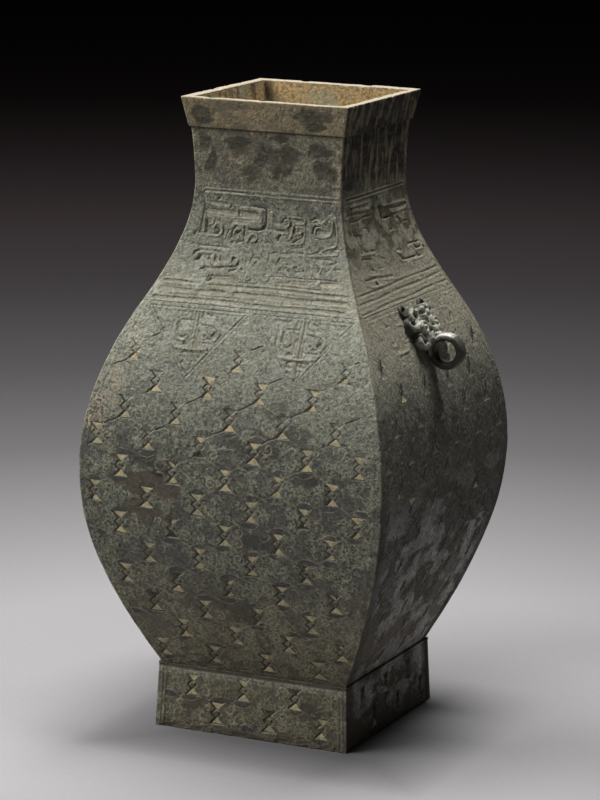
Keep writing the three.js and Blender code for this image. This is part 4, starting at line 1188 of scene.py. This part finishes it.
class VesselShape(bpy.types.PropertyGroup):
    arris: length("Arris Radius", 1.0 * MM, "Rounding of the four upright edges")
    shell: length("Skin Thickness", 1.6 * MM, "Thickness of the outer skin pieces")
    columns: whole("Columns", 256, "Divisions across one face")
    belly_rows: whole("Belly Rows", 338, "Divisions up the belly")
    neck_rows: whole("Neck Rows", 200, "Divisions up the neck")
    relief: fraction("Relief Kept", 0.75, "How much of the relief has not worn away")
    recess: length("Recess Depth", 0.85 * MM, "Depth of the hourglass recesses")
    fill_depth: length("Fill Depth", 0.3 * MM, "From the surface down to the fills")
    fills_kept: fraction("Fills Kept", 0.99, "Share of the fills that are still there")
    fill_tilt: degrees("Fill Tilt", 5, "How far a fill may have sunk to one side")
    seed: whole("Seed", 7, "Seed for what is uneven")


class VesselColours(bpy.types.PropertyGroup):
    skin: colour("Skin", "#454441", "Smooth charcoal skin of the bronze")
    skin_brown: colour("Brown Skin", "#433b30", "Browner places of the skin")
    crust: colour("Crust", "#8a8c76", "Granular grey-green crust")
    crust_dark: colour("Dark Crust", "#31322b", "Dark grains of the crust")
    # Also painted light: the paling of what faces up, and partly the highlight on the crests.
    crust_pale: colour("Pale Crust", "#a1a392", "Raised worm-like crests of the crust")
    # Also painted light: the paling high on the side faces, and partly the highlight on the ornament's
    # edges.
    crust_tan: colour("Tan Crust", "#a29b85", "Tan grains, edges, dust and rubbed places")
    teal: colour("Teal", "#4f6458", "Cool green specks in the crust")
    pink: colour("Pink", "#a3937a", "Pinkish tan specks and patches")
    patch: colour("Dark Patch", "#3d3b2e", "Dark bare patches of the neck's top and the collar")
    soot: colour("Black Skin", "#1f1b14", "Nearly black skin high on the side faces")
    ochre: colour("Ochre", "#958461", "Ochre stain of the neck's top and the collar")
    loss: colour("Loss", "#5a5141", "Brown places where the skin has come off")
    streak: colour("Streak", "#a09b86", "Level streaks of dirt on the ribs")
    # Also the painted highlights on the hourglasses' rims and on the slits' lower lips.
    line: colour("Line", "#a39d84", "Fine inlaid lines and curls")
    bare: colour("Bare Skin", "#8d8b86", "Polished bare bronze low on the side faces")
    lip: colour("Lip", "#958d7c", "Scraped top of the lip")
    # Also painted shade: down the hourglasses' left sides, in the deep slits of the strokes, beside the
    # side faces' arrises, below the side faces' shoulders and over the loops' outer sides.
    hollow: colour("Hollow", "#35322a", "Earth in the hollows")
    rust: colour("Rust", "#6d4636", "Red-brown spots")
    fill: colour("Fill", "#c2b58f", "Tan paste of the fills")
    fill_dark: colour("Dark Fill", "#90846a", "Darker grains of the paste")
    earth: colour("Earth", "#bf9e6a", "Ochre earth inside")
    earth_dark: colour("Dark Earth", "#6f6448", "Darker earth inside")
    mask: colour("Mask", "#b6b7a8", "Rubbed grey-green of the masks")
    mask_dark: colour("Dark Mask", "#74766a", "Darker grains of the masks")
    # Partly polish and partly a painted highlight on the top of each loop's outer side.
    polish_and_highlight: colour("Polished Bronze", "#dbdad6", "White-grey outer side of the loops, rubbed bright")
    solder: colour("Solder", "#8b8b85", "Dull grey solder")
    solder_dark: colour("Dark Solder", "#5f605d", "Darker solder")


class VesselStage(bpy.types.PropertyGroup):
    azimuth: degrees("Azimuth", 24.82, "Camera's turn from the front face")
    elevation: degrees("Elevation", 12.06, "Camera's height as an angle")
    roll: degrees("Roll", 0.74, "Camera's tilt to its side")
    distance: length("Distance", 2.176, "From the vessel's middle to the camera")
    lens: number("Lens", 154.8, "Focal length in millimetres")
    key: number("Key Light", 53, "Power of the large light at the left")
    top: number("Top Light", 45, "Power of the light above")
    fill: number("Fill Light", 0.5, "Power of the weak light in front")
    world: number("Ambient", 0.01, "Strength of the grey surroundings")
    tone_near: colour("Near Tone", "#939192", "Paper 0.3 m away", 3)
    tone_close: colour("Close Tone", "#7f7d7e", "Paper 0.5 m away", 3)
    tone_middle: colour("Middle Tone", "#636162", "Paper 0.8 m away", 3)
    tone_far: colour("Far Tone", "#4f4d4e", "Paper 1.1 m away", 3)
    tone_dark: colour("Dark Tone", "#433f40", "Paper 1.6 m away", 3)
    tone_deep: colour("Deep Tone", "#423a3b", "Paper 2.1 m away", 3)
    tone_edge: colour("Edge Tone", "#1a1112", "Paper 3.3 m away", 3)
    tone_end: colour("End Tone", "#000000", "Paper 5 m away", 3)


class VESSEL_OT_walls(bpy.types.Operator):
    """Builds the four neck panels and the four belly panels with their relief"""
    bl_idname = "vessel.walls"
    bl_label = "Walls"

    def execute(self, context):
        shape = context.scene.vessel_shape
        colours = context.scene.vessel_colours
        belly_bronze = patinated_bronze("belly_patinated_bronze", colours, BELLY_CELL)
        neck_bronze = patinated_bronze("neck_patinated_bronze", colours)
        for face, side in enumerate(("front", "right", "back", "left")):
            spots = diaper_spots(face)

            def belly(across, along, half):
                return belly_relief(across, along, half, spots, shape.recess / MM * (1, 0.35)[face % 2])

            def neck(across, along, half):
                return band_relief(across, along, half, face % 2)

            piece = panel(f"belly_{side}", face, FOOT_TOP, PANEL_TOP, shape.belly_rows, shape, belly,
                          spots)
            finish_piece(piece, belly_bronze, "bronze_patina", "vessel_body")
            piece = panel(f"neck_{side}", face, PANEL_TOP, COLLAR, shape.neck_rows, shape, neck)
            finish_piece(piece, neck_bronze, "bronze_patina", "vessel_body")
        return {"FINISHED"}


class VESSEL_OT_collar(bpy.types.Operator):
    """Builds the collar and its flat lip as one closed ring"""
    bl_idname = "vessel.collar"
    bl_label = "Collar"

    def execute(self, context):
        shape = context.scene.vessel_shape
        colours = context.scene.vessel_colours
        low, high = COLLAR_HALF
        inner = high - LIP_WIDTH
        soft = 0.5
        corners = [
            (low, COLLAR), (high - 0.2, LIP - soft), (high - soft, LIP), (inner + soft, LIP),
            (inner, LIP - soft), (LINING_TOP_HALF, COLLAR), (low, COLLAR),
        ]
        rows = polyline(corners, 0.5)

        def chipped(p):
            edge = ramp(LIP - 2.5, LIP - 0.2, p[..., 2])
            return cast_surface(p) - 0.5 * edge * ramp(0.25, 0.7, lumps(p, 5, 1.7))

        piece = ring("collar", rows, RING_COLUMNS, shape.arris / MM, chipped)
        bronze = patinated_bronze("collar_patinated_bronze", colours)
        finish_piece(piece, bronze, "bronze_patina", "vessel_body")
        for finish in (buried_inside("unpolished_mouth", colours), worn_lip("worn_lip", colours)):
            piece.data.materials.append(finish)
        outside, inside, top = range(3)
        finishes = [outside] * len(rows)
        for i, (half, level) in enumerate(rows):
            if level >= LIP - 0.3:
                finishes[i] = top
            elif level < LIP - 0.5 and i >= len(rows) / 2 and half < inner + 0.4:
                finishes[i] = inside
        cols = len(piece.data.polygons) // len(rows)
        piece.data.polygons.foreach_set("material_index", np.repeat(finishes, cols))
        return {"FINISHED"}


class VESSEL_OT_foot(bpy.types.Operator):
    """Builds the hollow foot with its hourglasses as one closed ring"""
    bl_idname = "vessel.foot"
    bl_label = "Foot"

    def execute(self, context):
        shape = context.scene.vessel_shape
        colours = context.scene.vessel_colours
        bottom, top = FOOT_HALF
        outside = polyline([(bottom, 0.25), (top, FOOT_TOP - 0.3)], 0.6)
        rest = polyline([
            (top, FOOT_TOP - 0.3), (top - 0.4, FOOT_TOP), (top - FOOT_WALL, FOOT_TOP),
            (bottom - FOOT_WALL, 0.25), (bottom - FOOT_WALL + 0.4, 0.0), (bottom - 0.4, 0.0),
            (bottom, 0.25),
        ], 3.0)
        spots = [diaper_spots(face, foot=True) for face in range(4)]

        def relief(face, across, up, half):
            outer = ramp(bottom - 2.5, bottom - 2.2, half)
            found = hourglass_relief(across, up, spots[face], shape.recess / MM)
            edge = half - np.abs(across)
            found = found + 0.35 * ramp(0.7, 0.2, np.abs(edge - 3.2))
            found = found + 0.35 * ramp(0.7, 0.2, np.abs(edge - 5.6))
            if face % 2:
                found = found + 0.5 * np.exp(-((up - FOOT_TOP) / 0.9) ** 2)
            else:
                found = found - 0.6 * np.exp(-((up - (FOOT_TOP - 1.8)) / 0.9) ** 2)
            return found * outer

        def uneven(p):
            steady = ramp(0.0, 1.5, p[..., 2])
            outside = np.abs(p[..., :2]).max(-1) > 65
            nicks = ramp(4.0, 1.0, p[..., 2]) * ramp(0.1, 0.6, lumps(p, 5, 3.1)) * outside
            return cast_surface(p) * steady - 0.6 * nicks

        def field(place, edge):
            return ramp(5.6, 6.6, edge) * ramp(3, 4, place[..., 1]) * ramp(38, 36, place[..., 1])

        piece = ring("foot", outside + rest, RING_COLUMNS, shape.arris / MM, uneven, relief, field, spots)
        bronze = patinated_bronze("foot_patinated_bronze", colours, FOOT_CELL)
        finish_piece(piece, bronze, "bronze_patina", "vessel_body")
        return {"FINISHED"}


class VESSEL_OT_lining(bpy.types.Operator):
    """Builds the inside of the walls and the floor"""
    bl_idname = "vessel.lining"
    bl_label = "Lining"

    def execute(self, context):
        shape = context.scene.vessel_shape
        colours = context.scene.vessel_colours
        hidden = shape.shell / MM + 0.2
        up = level_at(np.linspace(0, ALONG[-1], 26))
        half, slope = wall_at(up)
        outside = list(zip(half - hidden * np.hypot(1, slope), up))
        down = level_at(np.linspace(ALONG[-1], 0, 190))
        half, slope = wall_at(down)
        inside = list(zip(half - WALL * np.hypot(1, slope), down))
        piece = ring("lining", outside + inside, 60, shape.arris / MM, lambda p: 0.8 * cast_surface(p))
        inner = buried_inside("unpolished_inside", colours)
        finish_piece(piece, inner, "bronze_patina", "vessel_body")

        count = 72
        reach = FOOT_HALF[1] - FOOT_WALL - 0.3
        x, y = np.meshgrid(np.linspace(-reach, reach, count), np.linspace(-reach, reach, count))
        top = np.stack([x, y, np.full_like(x, FOOT_TOP - 0.25)], -1)
        under = np.stack([x, y, np.full_like(x, FLOOR_BOTTOM + 0.25)], -1)
        top[..., 2] += 0.144 * lumps(top, 6)
        under[..., 2] += 0.12 * lumps(under, 6)
        quads = grid_quads(count, count)
        total = count * count
        loop = np.concatenate([
            np.arange(count), np.arange(1, count) * count + count - 1,
            (count - 1) * count + np.arange(count - 2, -1, -1), np.arange(count - 2, 0, -1) * count,
        ])
        after = np.roll(loop, -1)
        sides = np.stack([loop + total, after + total, after, loop], -1)
        points = np.concatenate([top.reshape(-1, 3), under.reshape(-1, 3)])
        floor = mesh_object("floor_plate", points,
                            np.concatenate([quads, quads[:, ::-1] + total, sides]))
        finish_piece(floor, inner, "bronze_patina", "vessel_body")
        return {"FINISHED"}


def fill_shape():
    """One tan fill, a thin three-sided tablet with hollow sides, laid out from the waist upwards."""
    ups = (2.7, 3.9, 5.2, 6.5)
    side = [(0.94 * float(hourglass_half(u)), u) for u in ups]
    outline = side + [(0.0, 6.6)] + [(-x, y) for x, y in reversed(side)]
    count = len(outline)
    middle, shrink = 5.0, 0.88
    verts = [(x, y, -0.5) for x, y in outline] + [(x, y, -0.1) for x, y in outline]
    verts += [(shrink * x, middle + shrink * (y - middle), 0.0) for x, y in outline] + [(0.0, 4.6, 0.07)]
    faces = []
    for i in range(count):
        j = (i + 1) % count
        faces += [(i, j, count + j, count + i), (count + i, count + j, 2 * count + j, 2 * count + i)]
        faces += [(2 * count + i, 2 * count + j, 3 * count)]
    faces += [tuple(reversed(range(count)))]
    mesh = bpy.data.meshes.new("fill_tablet")
    mesh.from_pydata([Vector(v) * MM for v in verts], [], faces)
    return bpy.data.objects.new("fill_tablet", mesh)


def scatter_tree(name):
    """Geometry nodes that lay a shape on points by their own normal and along attributes."""
    tree = bpy.data.node_groups.new(name, "GeometryNodeTree")
    face = tree.interface
    face.new_socket("Geometry", in_out="INPUT", socket_type="NodeSocketGeometry")
    face.new_socket("Shape", in_out="INPUT", socket_type="NodeSocketObject")
    for label, value in (("Share Kept", 0.9), ("Tilt", 0.08), ("Smallest", 0.9), ("Largest", 1.02)):
        face.new_socket(label, in_out="INPUT", socket_type="NodeSocketFloat").default_value = value
    face.new_socket("Seed", in_out="INPUT", socket_type="NodeSocketInt")
    face.new_socket("Finish", in_out="INPUT", socket_type="NodeSocketMaterial")
    face.new_socket("Geometry", in_out="OUTPUT", socket_type="NodeSocketGeometry")
    add = partial(node, tree)
    given = add("NodeGroupInput").outputs
    normal = add("GeometryNodeInputNamedAttribute", "normal_out", data_type="FLOAT_VECTOR")
    along = add("GeometryNodeInputNamedAttribute", "along", data_type="FLOAT_VECTOR")
    facing = add("FunctionNodeAxesToRotation", normal, along, primary_axis="Z", secondary_axis="Y")
    kept = add("FunctionNodeRandomValue", data_type="BOOLEAN",
               named={"Probability": given["Share Kept"], "Seed": given["Seed"]})
    low = add("MULTIPLY", given["Tilt"], -1.0)
    tilt = add("FunctionNodeRandomValue", low, given["Tilt"], data_type="FLOAT_VECTOR",
               named={"Seed": given["Seed"]})
    size = add("FunctionNodeRandomValue", data_type="FLOAT",
               named={2: given["Smallest"], 3: given["Largest"], "Seed": given["Seed"]})
    turned = add("FunctionNodeRotateRotation", facing, tilt.outputs[0], rotation_space="LOCAL")
    shape = add("GeometryNodeObjectInfo", given["Shape"], transform_space="ORIGINAL")
    laid = add("GeometryNodeInstanceOnPoints", given["Geometry"],
               named={"Selection": kept.outputs[3], "Instance": shape.outputs["Geometry"],
                      "Rotation": turned, "Scale": size.outputs[1]})
    real = add("GeometryNodeRealizeInstances", laid)
    done = add("GeometryNodeSetMaterial", real, named={"Material": given["Finish"]})
    add("NodeGroupOutput", done)
    return tree


class VESSEL_OT_fills(bpy.types.Operator):
    """Lays tan tablets in the triangles of the hourglasses, on the belly and on the foot, leaving out
    those that are covered or whose paste has fallen out
    """
    bl_idname = "vessel.fills"
    bl_label = "Fills"

    def execute(self, context):
        shape = context.scene.vessel_shape
        rng = np.random.default_rng(shape.seed)
        points, normals, alongs = [], [], []
        lean = math.atan((FOOT_HALF[0] - FOOT_HALF[1]) / FOOT_TOP)
        for face in range(4):
            for foot in (False, True):
                for x, y, _, opened in diaper_spots(face, foot):
                    if foot:
                        half = FOOT_HALF[0] - math.tan(lean) * y
                        level, slope = y, -math.tan(lean)
                    else:
                        level = float(level_at(y))
                        half, slope = (float(v) for v in wall_at(level))
                    size = math.hypot(1, slope)
                    out = on_face(face, 0.0, 1 / size, -slope / size)
                    up = on_face(face, 0.0, slope / size, 1 / size)
                    base = on_face(face, x + 0.6, half, level)
                    base = base + out * (float(cast_surface(base)) - shape.fill_depth / MM)
                    # On the side faces most of the paste has fallen out.
                    for turn in (1, -1):
                        lost = (0.86 if turn < 0 else 0.96) if face % 2 else 0.02
                        if rng.random() > lost and (turn < 0 or opened > 0.5):
                            points.append(base)
                            normals.append(out)
                            alongs.append(turn * up)
        seeds = mesh_object("fills", points, np.zeros((0, 4), int),
                            attributes={"normal_out": normals, "along": alongs})
        tree = scatter_tree("lay_fills")
        paste = clay_fill("clay_paste", context.scene.vessel_colours)
        modifier = seeds.modifiers.new("lay", "NODES")
        modifier.node_group = tree
        given = {
            "Shape": fill_shape(), "Share Kept": shape.fills_kept, "Tilt": shape.fill_tilt,
            "Smallest": 0.96, "Largest": 1.06, "Seed": shape.seed, "Finish": paste,
        }
        for item in tree.interface.items_tree:
            if item.in_out == "INPUT" and item.name in given:
                modifier[item.identifier] = given[item.name]
        piece = plain_mesh(context, seeds)
        finish_piece(piece, paste, "bronze_patina")
        return {"FINISHED"}


def plain_mesh(context, obj):
    """The object with its modifiers' result as its own mesh, and without them."""
    context.view_layer.update()
    made = bpy.data.meshes.new_from_object(obj.evaluated_get(context.evaluated_depsgraph_get()))
    obj.modifiers.clear()
    obj.data = made
    return obj


def curl(across, up, radius, start, end, tighten):
    """Points of a curl about a place of the mask, from one angle in degrees to the other."""
    found = []
    for i in range(CURL_STEPS + 1):
        t = i / CURL_STEPS
        angle = math.radians(start + (end - start) * t)
        r = radius * (1 - tighten * t)
        found.append((across + r * math.cos(angle), up + r * math.sin(angle)))
    return found


def mask_heights(across, up):
    """How far a mask's face stands out of the wall, at places across and up the wall."""
    x = np.abs(across)
    outline = [(0, 14), (5, 14.6), (9.5, 16.6), (14.5, 18.8), (18.8, 18.2), (20.4, 14.8), (18, 11.2),
               (20.2, 9.4), (20.8, 5), (19, -0.4), (16, -2), (14.8, -7.4), (12.8, -12.8),
               (10, -15.4), (7, -13.6), (4, -12.4), (0, -12)]
    inside = np.zeros(x.shape, bool)
    for (ax, ay), (bx, by) in zip(outline, outline[1:]):
        between = (up > min(ay, by)) & (up <= max(ay, by)) if ay != by else np.zeros(x.shape, bool)
        edge = ax + (up - ay) * (bx - ax) / (by - ay) if ay != by else 0
        inside ^= between & (x < edge)
    gap = gap_to_path(x, up, outline)
    gap = np.where(inside, gap, -gap)
    brow = ramp(1, 12, up)
    dome = (1.9 + 6.2 * np.sqrt(np.clip(1 - (x / 22) ** 2 - (up / 25) ** 2, 0, 1))) * (1 - 0.6 * brow)
    height = -2.5 + (dome + 2.5) * ramp(-0.5, 2.2 + 3.5 * brow, gap)

    def cord(path, radius, level):
        d = gap_to_path(x, up, path)
        rise = level + np.sqrt(np.clip(radius ** 2 - d ** 2, 0, None))
        return np.where(d < radius, rise, -10)

    cords = (
        (curl(15.0, 13.6, 3.8, 170, -110, 0.35), 1.2, 0.6),
        (curl(15.4, 4.6, 3.4, 160, -140, 0.3), 1.4, 2.0),
        (curl(9.5, 8.6, 4.9, -20, 230, 0.35), 1.7, 4.8),
        (curl(8.6, 0.2, 3.4, 0, 360, 0.0), 1.2, 8.0),
        (curl(11.2, -8.2, 3.8, 110, -190, 0.3), 1.6, 4.4),
        ([(3.2, 11.5), (3.6, 6.5), (2.6, 2.0), (3.6, -4), (5.4, -8.4)], 1.5, 8.6),
    )
    for path, radius, level in cords:
        height = np.maximum(height, cord(path, radius, level))
    for cx, cy, radius, depth in ((15.0, 13.6, 2.0, 1.6), (15.4, 4.6, 1.7, 2.6), (9.5, 8.2, 1.9, 3.5),
                                  (11.2, -8.2, 1.6, 3.0), (12.6, 9.4, 1.2, 2.5), (14.0, -1.4, 1.4, 2.5),
                                  (4.4, 9.2, 1.3, 3.0), (4.6, -2.6, 1.4, 3.5), (7.4, 13.2, 1.2, 2.0)):
        d = np.hypot(x - cx, up - cy)
        height = np.where(inside, height - depth * ramp(radius + 0.5, radius - 0.6, d), height)
    eye = np.hypot(x - 8.6, up - 0.2)
    height = np.where(eye < 1.9, 8.0 + np.sqrt(np.clip(1.9 ** 2 - eye ** 2, 0, None)), height)
    ridge = np.sqrt(np.clip(3.4 ** 2 - x ** 2, 0, None)) + 8.0 + 0.14 * (4 - up)
    for level, depth in ((10.4, 1.6), (5.8, 2.2), (-0.6, 2.0), (-5.4, 1.2)):
        ridge = ridge - depth * np.exp(-((up - level - 0.25 * x) / 0.8) ** 2)
    height = np.where((x < 3.4) & (up < 15) & inside, np.maximum(height, ridge), height)
    # Above, the wall falls away from the mask's plane, and the mask follows it.
    wall = wall_at(MASK_LEVEL + math.cos(MASK_LEAN) * up)[0]
    fall = (MASK_HALF - math.sin(MASK_LEAN) * up - wall) * math.cos(MASK_LEAN)
    return height - np.clip(fall, 0, 4) * (up > 0), gap


def mask_points(face, across, out, up):
    """Places in a mask's frame, out of the wall and along it, as points of the vessel."""
    c, s = math.cos(MASK_LEAN), math.sin(MASK_LEAN)
    return on_face(face, across, MASK_HALF + c * out - s * up, MASK_LEVEL + s * out + c * up)


class VESSEL_OT_masks(bpy.types.Operator):
    """Builds the two beast masks with their strap loops"""
    bl_idname = "vessel.masks"
    bl_label = "Masks"

    def execute(self, context):
        bronze = rubbed_bronze("rubbed_mask_bronze", context.scene.vessel_colours)
        step = 0.3
        across, up = np.meshgrid(np.arange(-27, 27.1, step), np.arange(-18, 22.1, step))
        height, gap = mask_heights(across, up)
        rows, cols = across.shape
        keep = gap > -1.2
        quads = grid_quads(rows, cols)
        quads = quads[keep.ravel()[quads].all(1)]
        used = np.unique(quads)
        place = np.full(rows * cols, -1)
        place[used] = np.arange(len(used))
        quads = place[quads]
        x, y, h = (a.ravel()[used] for a in (across, up, height))
        pairs = np.concatenate([quads[:, [k, (k + 1) % 4]] for k in range(4)])
        code = pairs[:, 0].astype(np.int64) * len(used) + pairs[:, 1]
        back = pairs[:, 1].astype(np.int64) * len(used) + pairs[:, 0]
        rim = pairs[~np.isin(code, back)]
        total = len(used)
        skirt = np.stack([rim[:, 1], rim[:, 0], rim[:, 0] + total, rim[:, 1] + total], -1)
        for face, side in ((1, "right"), (3, "left")):
            front = mask_points(face, x, h, y)
            front = front + 0.12 * lumps(front, 2.4)[:, None] * mask_normal(face)
            rear = mask_points(face, x, np.full_like(h, MASK_BACK), y)
            loop_points, loop_quads, loop_rust_and_painted_light = strap_loop(face)
            points = np.concatenate([front, rear, loop_points])
            faces = np.concatenate([quads, quads[:, ::-1] + total, skirt, loop_quads + 2 * total])
            depth = np.concatenate([(h - 3.2) / 6, np.zeros(total), loop_rust_and_painted_light])
            marks = np.stack([0 * depth, 0 * depth, depth], -1)
            piece = mesh_object(f"mask_{side}", points, faces, attributes={"place": marks})
            finish_piece(piece, bronze, "mask_bronze", f"mask_loop_{side}")
        return {"FINISHED"}


def mask_normal(face):
    """The way out of the wall at a face's mask."""
    size = math.hypot(1, MASK_SLOPE)
    return on_face(face, 0.0, 1 / size, -MASK_SLOPE / size)


def strap_loop(face):
    """The loop that the nose turns into: a strap bent round a level hole, rounded on its outside."""
    around, section_steps = 96, 28
    centre_out, centre_up, radius = 11.9, -18.9, 9.1
    turn = np.linspace(0, math.tau, around, endpoint=False)[:, None]
    part = np.linspace(0, math.tau, section_steps, endpoint=False)[None, :]
    wide = 4.5 * np.sign(np.cos(part)) * np.abs(np.cos(part)) ** 0.6
    thick = 2.4 * np.sign(np.sin(part)) * np.abs(np.sin(part)) ** 0.5
    groove = 0.35 * np.exp(-((np.abs(wide) - 2.6) / 0.5) ** 2) * (np.sin(part) > 0)
    r = radius + thick - groove + 0 * turn
    out = centre_out + r * np.cos(turn)
    up = centre_up + r * np.sin(turn)
    points = mask_points(face, (wide + 0 * turn).ravel(), out.ravel(), up.ravel())
    points = points + 0.12 * lumps(points, 3.0)[:, None]
    # The loop's marks: the top of the outer side, where the top lamp falls, is marked for a painted
    # highlight, the rest of the outer side for painted shade, and the inside for dark brown.
    outer = ramp(-0.2, 0.3, np.sin(part)) * ramp(0.3, 0.6, np.sin(turn) - 0.3 * np.cos(turn))
    depth = ramp(-0.6, 0.2, np.sin(part)) - 1 + 2 * outer
    return points, closed_quads(around, section_steps), depth.ravel()


class VESSEL_OT_fittings(bpy.types.Operator):
    """Gives the solder beads and the floor spacers their finishes"""
    bl_idname = "vessel.fittings"
    bl_label = "Solder and Spacers"

    def execute(self, context):
        colours = context.scene.vessel_colours
        solder = old_solder("tin_lead_solder", colours)
        spacer = buried_inside("corroded_spacer_bronze", colours)
        for name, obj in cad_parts.items():
            finish = solder if name.startswith("solder") else spacer
            if name.startswith(("solder", "floor_spacer")):
                for slot in obj.material_slots:
                    slot.material = finish
        return {"FINISHED"}


class VESSEL_OT_stage(bpy.types.Operator):
    """Lays the paper, hangs the lamps and sets up the camera"""
    bl_idname = "vessel.stage"
    bl_label = "Stage"

    def execute(self, context):
        stage = context.scene.vessel_stage
        scene = context.scene
        scene.view_settings.view_transform = "Standard"
        turn = np.linspace(0, math.tau, 96, endpoint=False)
        reach = 12000
        points = np.stack([reach * np.cos(turn), reach * np.sin(turn), 0 * turn], -1)
        floor = mesh_object("floor", points, np.zeros((0, 4), int), rings=(np.arange(96),))
        floor.data.materials.append(studio_paper("seamless_paper", stage))

        back = Vector((math.sin(stage.azimuth) * math.cos(stage.elevation),
                       -math.cos(stage.azimuth) * math.cos(stage.elevation),
                       math.sin(stage.elevation)))
        right = Vector((math.cos(stage.azimuth), math.sin(stage.azimuth), 0))
        above = back.cross(right)
        c, s = math.cos(stage.roll), math.sin(stage.roll)
        axes = Matrix((right * c + above * s, above * c - right * s, back)).transposed()
        data = bpy.data.cameras.new("photo_camera")
        data.lens = stage.lens
        data.sensor_width = 36
        data.shift_x = 0.0018
        data.shift_y = 0.0095
        data.clip_end = 100
        camera = bpy.data.objects.new("photo_camera", data)
        place = Vector((0, 0, LIP / 2 * MM)) + back * stage.distance
        camera.matrix_world = Matrix.Translation(place) @ axes.to_4x4()
        scene.collection.objects.link(camera)
        scene.camera = camera

        lamps = (
            ("key_light", (-1.2, -0.75, 1.6), (0, 0, 0.2), 1.4, 1.4, stage.key),
            ("top_light", (0.1, 0.35, 1.95), (0, 0, 0.3), 0.8, 0.8, stage.top),
            ("fill_light", (-0.4, -2.4, 0.6), (0, 0, 0.2), 1.0, 1.0, stage.fill),
        )
        for name, place, target, wide, high, power in lamps:
            lamp = bpy.data.lights.new(name, "AREA")
            lamp.shape = "RECTANGLE"
            lamp.size = wide
            lamp.size_y = high
            lamp.energy = power
            obj = bpy.data.objects.new(name, lamp)
            aim = Vector(place) - Vector(target)
            obj.matrix_world = (Matrix.Translation(Vector(place))
                                @ aim.to_track_quat("Z", "Y").to_matrix().to_4x4())
            scene.collection.objects.link(obj)
        world = bpy.data.worlds.new("studio")
        world.use_nodes = True
        surroundings = world.node_tree.nodes["Background"]
        surroundings.inputs["Color"].default_value = (0.8, 0.85, 0.9, 1)
        surroundings.inputs["Strength"].default_value = stage.world
        scene.world = world
        return {"FINISHED"}


BUILDERS = (VESSEL_OT_stage, VESSEL_OT_walls, VESSEL_OT_collar, VESSEL_OT_foot, VESSEL_OT_lining,
            VESSEL_OT_fills, VESSEL_OT_masks, VESSEL_OT_fittings)
GROUPS = {"vessel_shape": VesselShape, "vessel_colours": VesselColours, "vessel_stage": VesselStage}


class VESSEL_PT_panel(bpy.types.Panel):
    """Lists the vessel's builders"""
    bl_label = "Wine Vessel"
    bl_idname = "VESSEL_PT_panel"
    bl_space_type = "VIEW_3D"
    bl_region_type = "UI"
    bl_category = "Wine Vessel"

    def draw(self, context):
        for name in GROUPS:
            box = self.layout.box()
            for key in GROUPS[name].__annotations__:
                box.prop(getattr(context.scene, name), key)
        for builder in BUILDERS:
            self.layout.operator(builder.bl_idname)


def register():
    for cls in (*GROUPS.values(), *BUILDERS, VESSEL_PT_panel):
        bpy.utils.register_class(cls)
    for name, cls in GROUPS.items():
        setattr(bpy.types.Scene, name, PointerProperty(type=cls))


def unregister():
    for name in GROUPS:
        delattr(bpy.types.Scene, name)
    for cls in reversed((*GROUPS.values(), *BUILDERS, VESSEL_PT_panel)):
        bpy.utils.unregister_class(cls)


def main():
    register()
    bpy.ops.vessel.stage()
    bpy.ops.vessel.walls()
    bpy.ops.vessel.collar()
    bpy.ops.vessel.foot()
    bpy.ops.vessel.lining()
    bpy.ops.vessel.fills()
    bpy.ops.vessel.masks()
    bpy.ops.vessel.fittings()


if __name__ == "__main__":
    main()
